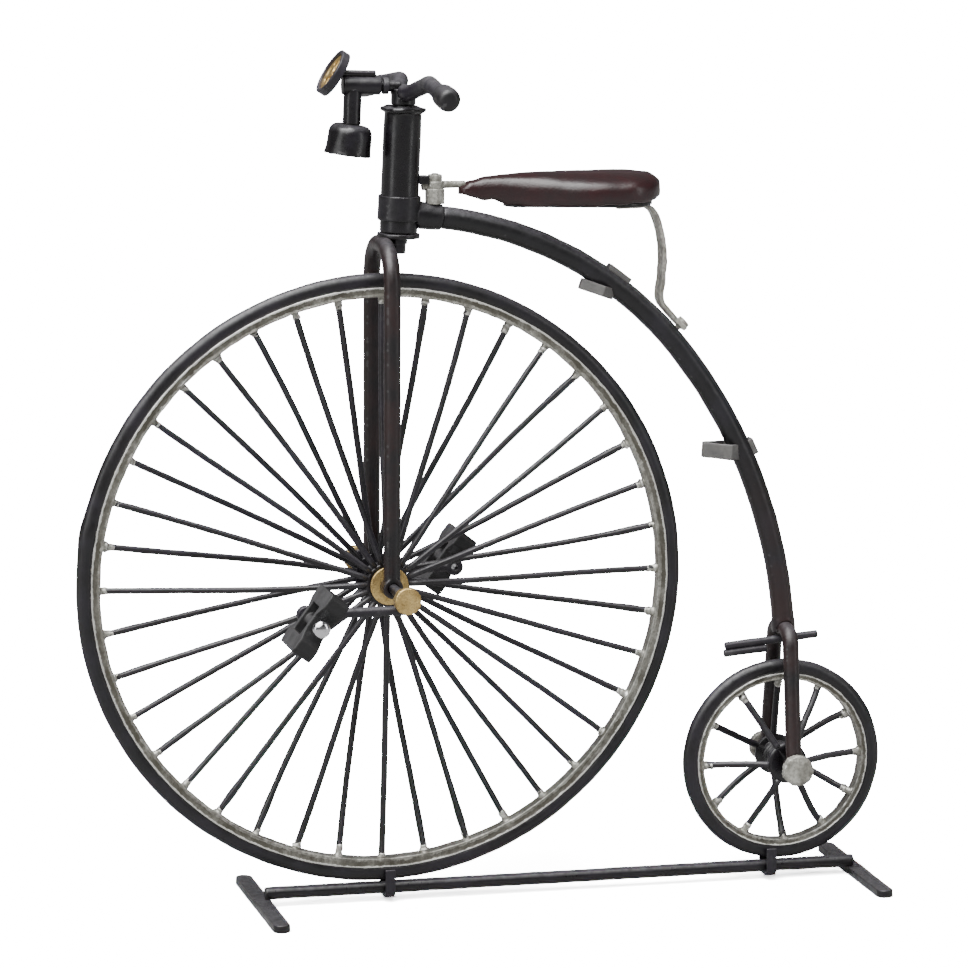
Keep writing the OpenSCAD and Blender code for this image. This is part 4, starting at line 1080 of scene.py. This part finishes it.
class IRON_OT_bell(bpy.types.Operator):
    """Makes the bell's tube and its cup, open below"""
    bl_idname = "iron.bell"
    bl_label = "Bell"

    def execute(self, context):
        worked("bell_tube", "glossy_enamel", 0.15)
        tilt = Matrix.Rotation(math.radians(6.0), 4, "Y")
        place = Matrix.Translation(middle("bell_cup")) @ steering_place().to_3x3().to_4x4() @ tilt
        low, high = local_box("bell_cup", place)
        radius = (high.x - low.x) / 2
        foot, top = low.z, high.z
        wall, shoulder = 0.6 * MM, 2.2 * MM
        corners = [(0, top), (radius * 0.94, top, shoulder), (radius * 0.985, foot + 1.2 * MM, 0.6 * MM),
                   (radius * 1.03, foot, 0.15 * MM), (radius - wall, foot, 0.15 * MM),
                   (radius - wall, top - wall, shoulder - wall), (0, top - wall)]
        bm = spun(evened(rounded(corners, 0.2 * MM, steps=6, closed=False), 0.8 * MM), steps=64)

        def mouth_share(point):
            return max(0.0, 1 - (point.z - foot) / (1.2 * MM))

        roughen(bm, 0.16 * MM, 1.1 * MM, 12.0, mouth_share)
        roughen(bm, 0.1 * MM, 3 * MM, 13.0)
        place = place @ Matrix.Translation(((high.x + low.x) / 2, (high.y + low.y) / 2, 0))
        piece("bell_cup_spun", settle(bm, place), "glossy_enamel", "bell_cup")
        return {"FINISHED"}


# ---- Backbone, steps and rear fork ----
class IRON_OT_backbone(bpy.types.Operator):
    """Makes the backbone with its two steps"""
    bl_idname = "iron.backbone"
    bl_label = "Backbone"

    def execute(self, context):
        worked("backbone", "backbone_enamel", 0.25, passes=4, swell=0.04, lumps=1.2)
        for step in ("upper_step", "lower_step"):
            worked(step, "strap_enamel", 0.12, passes=2, swell=0.02)
        return {"FINISHED"}


class IRON_OT_rear_fork(bpy.types.Operator):
    """Makes the rear fork, its pegs, the rear axle and its caps"""
    bl_idname = "iron.rear_fork"
    bl_label = "Rear fork"

    def execute(self, context):
        worked("rear_fork", "russet_enamel", 0.22, passes=4, swell=0.04)
        worked("rear_long_peg", "dusty_enamel", 0.13)
        worked("rear_short_peg", "dusty_enamel", 0.13)
        worked("rear_axle", "black_enamel", 0.15)
        low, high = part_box("rear_axle_caps")
        sides = [p.y for p in points_of("rear_axle_caps")]
        bm = make_cap(low, Vector((high.x, max(y for y in sides if y < 0), high.z)))
        other = make_cap(Vector((low.x, min(y for y in sides if y > 0), low.z)), high)
        spare = bpy.data.meshes.new("spare")
        other.to_mesh(spare)
        other.free()
        bm.from_mesh(spare)
        bpy.data.meshes.remove(spare)
        roughen(bm, 0.2 * MM, 1.2 * MM, 14.0)
        piece("rear_axle_caps_hammered", bm, "cream_silver", "rear_axle_caps")
        return {"FINISHED"}


# ---- Saddle ----
def make_saddle_spring():
    """A flat strip that leaves the plate, bows down behind the saddle and lies on the backbone"""
    low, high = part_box("saddle_spring")
    end = mean([p for p in points_of("saddle_spring") if p.x > high.x - 0.9 * MM])
    end.y = 0
    lie = end + Vector((-3.7 * MM, 0, 4.0 * MM))
    top = Vector((low.x, 0, high.z - 0.5 * MM))
    out = top + Vector((6.6 * MM, 0, 0))
    drops = ((2.0, 1.5), (3.4, 5.0), (4.3, 10.4), (4.1, 16.0), (3.7, 20.6))
    bow = [out + Vector((x * MM, 0, -z * MM)) for x, z in drops]
    bm = bmesh.new()
    draw_strip(bm, smooth_path([top, out - Vector((2 * MM, 0, 0)), out, *bow, lie, end]), high.y - low.y, 1.0 * MM)
    bm = reskin(settle(bm), 0.13 * MM)
    soften(bm, 3, 0.02 * MM)
    roughen(bm, 0.1 * MM, 2.2 * MM, 17.0)
    roughen(bm, 0.05 * MM, 0.8 * MM, 18.0)
    piece("saddle_spring_bowed", bm, "cream_silver", "saddle_spring")


def eased(k):
    return k * k * (3 - 2 * k)


def saddle_width(t):
    """Half of the saddle's width at t along it from the nose, as a share of its widest"""
    width = 0.22 + 0.78 * eased(min(1.0, max(0.0, (t - 0.04) / 0.68)))
    if t > 0.78:
        width *= math.sqrt(max(0.0, 1 - ((t - 0.78) / 0.222) ** 2.2))
    if t < 0.05:
        width *= math.sqrt(max(0.0, 1 - ((0.05 - t) / 0.0505) ** 2))
    return width


def saddle_lines(t):
    """Depth of the saddle's top edge and of its hem, below the highest point, at t along it"""
    marks = ((0.0, 2.4, 4.3), (0.06, 1.3, 5.0), (0.14, 0.5, 5.7), (0.24, 0.25, 6.7), (0.33, 0.2, 7.4),
             (0.62, 0.2, 7.3), (0.84, 0.3, 6.9), (0.94, 0.6, 6.4), (1.0, 1.6, 5.4))
    for (t0, roof0, hem0), (t1, roof1, hem1) in zip(marks, marks[1:]):
        if t <= t1:
            k = eased((t - t0) / (t1 - t0))
            return (roof0 + (roof1 - roof0) * k) * MM, (hem0 + (hem1 - hem0) * k) * MM


def make_saddle_pad(settings):
    """A crowned closed form, drawn out ring by ring from the nose to the back"""
    low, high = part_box("saddle_pad")
    run = high.x - low.x
    half = (high.y - low.y) / 2
    stations, sides = 72, 48
    places = [(1 - math.cos(math.pi * i / stations)) / 2 for i in range(stations + 1)]
    bm = bmesh.new()
    draw_bar(bm, [Vector((low.x + run * t, 0, 0)) for t in places], [1.0] * len(places), sides)
    for v in bm.verts:
        t = min(1.0, max(0.0, (v.co.x - low.x) / run))
        turn = math.atan2(v.co.z, v.co.y)
        across, up = math.cos(turn), math.sin(turn)
        width = half * max(0.02, saddle_width(t))
        roof, hem = saddle_lines(t)
        top = high.z - roof - settings.crown * 0.4
        foot = high.z - hem + settings.wave * 0.25 * math.sin(t * 47)
        tall = (top - foot) / 2
        y = width * math.copysign(abs(across) ** (0.62 if up > 0 else 0.42), across)
        z = (top + foot) / 2 + tall * math.copysign(abs(up) ** (0.8 if up > 0 else 0.5), up)
        if up > 0:
            z += settings.crown * (1 - (y / width) ** 2) * min(1.0, width / half * 1.5)
        else:
            inside = min(1.0, abs(y) / max(width - 0.9 * MM, 0.1 * MM))
            z += settings.cup * min(1.0, tall / (2.4 * MM)) * (1 - inside ** 5) * abs(up)
        v.co = Vector((v.co.x, y, z))
    bmesh.ops.remove_doubles(bm, verts=bm.verts, dist=0.02 * MM)
    settle(bm)
    roughen(bm, 0.14 * MM, 5 * MM, 15.0)
    roughen(bm, 0.05 * MM, 1.5 * MM, 16.0)
    pad = piece("saddle_leather_top", bm, "burgundy_leather", "saddle_pad")


class IRON_OT_saddle(bpy.types.Operator):
    """Makes the leather saddle, its plate, its spring and its front mount"""
    bl_idname = "iron.saddle"
    bl_label = "Saddle"

    def execute(self, context):
        make_saddle_pad(context.scene.saddle_settings)
        worked("saddle_pan", "black_enamel", 0.17)
        make_saddle_spring()
        worked("saddle_block", "black_enamel", 0.11, passes=2)
        for node in ("saddle_spring_bolt", "saddle_stud", "saddle_nose_nut"):
            worked(node, "cream_silver", 0.11, passes=2)
        for node in ("saddle_stud_nuts", "saddle_nose_bar"):
            worked(node, "cream_silver", 0.12, lumps=1.6)
        return {"FINISHED"}


# ---- Stand ----
class IRON_OT_stand(bpy.types.Operator):
    """Makes the display stand: rail, two feet and two wheel clips"""
    bl_idname = "iron.stand"
    bl_label = "Stand"

    def execute(self, context):
        worked("stand_rail", "black_enamel", 0.22, passes=4)
        for end in ("front", "rear"):
            worked(f"stand_{end}_foot", "black_enamel", 0.16, lumps=0.8)
            worked(f"{end}_wheel_clip", "dusty_enamel", 0.11, passes=2, swell=0.015)
        return {"FINISHED"}


# ---- Stage ----
class IRON_OT_stage(bpy.types.Operator):
    """Makes the floor, the soft lights and the camera"""
    bl_idname = "iron.stage"
    bl_label = "Stage"

    def execute(self, context):
        stage = context.scene.stage_settings
        bm = bmesh.new()
        bmesh.ops.create_circle(bm, cap_ends=True, segments=96, radius=14.0,
                                matrix=Matrix.Translation((0, 0, CAD_LOW.z)))
        mesh = bpy.data.meshes.new("floor")
        bm.to_mesh(mesh)
        bm.free()
        floor = bpy.data.objects.new("floor", mesh)
        context.scene.collection.objects.link(floor)
        self.make_white(context, mesh, stage)
        centre = (CAD_LOW + CAD_HIGH) / 2
        sun = bpy.data.lights.new("key", "SUN")
        sun.energy = stage.key
        sun.angle = math.radians(70)
        self.aim(context, sun, centre, Vector((-0.45, -0.55, 1.1)))
        for name, way, wide, tall, power in (
                ("left_panel", (-1.0, -0.45, 0.45), 0.24, 0.8, stage.panel),
                ("right_panel", (0.85, -0.75, 0.35), 0.12, 0.6, stage.panel * 0.6),
                ("ceiling", (-0.25, -0.2, 1.0), 0.5, 0.6, stage.ceiling)):
            panel = bpy.data.lights.new(name, "AREA")
            panel.shape = "RECTANGLE"
            panel.size = wide
            panel.size_y = tall
            panel.energy = power
            self.aim(context, panel, centre, Vector(way).normalized() * 0.8)
        camera = bpy.data.cameras.new("camera")
        camera.sensor_width = 36.0
        camera.lens = stage.lens
        camera.shift_x = stage.shift_x
        camera.shift_y = stage.shift_y
        camera.clip_start = 0.01
        camera.clip_end = 60.0
        view = bpy.data.objects.new("camera", camera)
        context.scene.collection.objects.link(view)
        turn = Euler((math.pi / 2 - stage.tilt, 0.0, stage.heading), "XYZ").to_matrix().to_4x4()
        view.matrix_world = (Matrix.Translation(stage.camera_place) @ turn
                             @ Matrix.Rotation(stage.roll, 4, "Z"))
        context.scene.camera = view
        return {"FINISHED"}

    def make_white(self, context, mesh, stage):
        """Shows floor and backdrop as bright white, while they light the bicycle only softly"""
        material = bpy.data.materials.new("pale_floor")
        material.use_nodes = True
        tree = material.node_tree
        tree.nodes.clear()
        seen = add(tree, "LightPath").outputs["Is Camera Ray"]
        tone = scaled(seen, stage.floor_bounce, stage.floor_white)
        grey = add(tree, "CombineColor", {0: tone, 1: tone, 2: tone}).outputs[0]
        matt = add(tree, "BsdfDiffuse", {"Color": grey}).outputs[0]
        add(tree, "OutputMaterial", {0: matt})
        mesh.materials.append(material)
        world = bpy.data.worlds.new("studio")
        world.use_nodes = True
        tree = world.node_tree
        seen = add(tree, "LightPath").outputs["Is Camera Ray"]
        light = tree.nodes["Background"]
        light.inputs["Color"].default_value = (1, 1, 1, 1)
        tree.links.new(scaled(seen, stage.fill, stage.white), light.inputs["Strength"])
        context.scene.world = world

    def aim(self, context, light, centre, offset):
        lamp = bpy.data.objects.new(light.name, light)
        context.scene.collection.objects.link(lamp)
        lamp.rotation_mode = "QUATERNION"
        lamp.location = centre + offset
        lamp.rotation_quaternion = (-offset).to_track_quat("-Z", "Y")


class IRON_PT_panel(bpy.types.Panel):
    """Lists the pieces of the bicycle and their settings"""
    bl_idname = "IRON_PT_panel"
    bl_label = "High-wheel bicycle"
    bl_space_type = "VIEW_3D"
    bl_region_type = "UI"
    bl_category = "High wheel"

    def draw(self, context):
        for step in STEPS:
            self.layout.operator(step.bl_idname)
        for name in SETTINGS:
            box = self.layout.box()
            group = getattr(context.scene, name)
            for label in group.__annotations__:
                box.prop(group, label)


SETTINGS = {
    "wheel_settings": WheelSettings,
    "iron_settings": IronSettings,
    "saddle_settings": SaddleSettings,
    "finish_settings": FinishSettings,
    "stage_settings": StageSettings,
}
STEPS = (IRON_OT_finishes, IRON_OT_front_wheel, IRON_OT_rear_wheel, IRON_OT_cranks, IRON_OT_pedals,
         IRON_OT_front_fork, IRON_OT_head, IRON_OT_handlebar, IRON_OT_lamp, IRON_OT_bell, IRON_OT_backbone,
         IRON_OT_rear_fork, IRON_OT_saddle, IRON_OT_stand, IRON_OT_stage)


def register():
    for kind in (*SETTINGS.values(), *STEPS, IRON_PT_panel):
        bpy.utils.register_class(kind)
    for name, kind in SETTINGS.items():
        setattr(bpy.types.Scene, name, PointerProperty(type=kind))


def unregister():
    for name in SETTINGS:
        delattr(bpy.types.Scene, name)
    for kind in reversed((*SETTINGS.values(), *STEPS, IRON_PT_panel)):
        bpy.utils.unregister_class(kind)


def main():
    register()
    for step in STEPS:
        group, name = step.bl_idname.split(".")
        getattr(getattr(bpy.ops, group), name)()


if __name__ == "__main__":
    main()
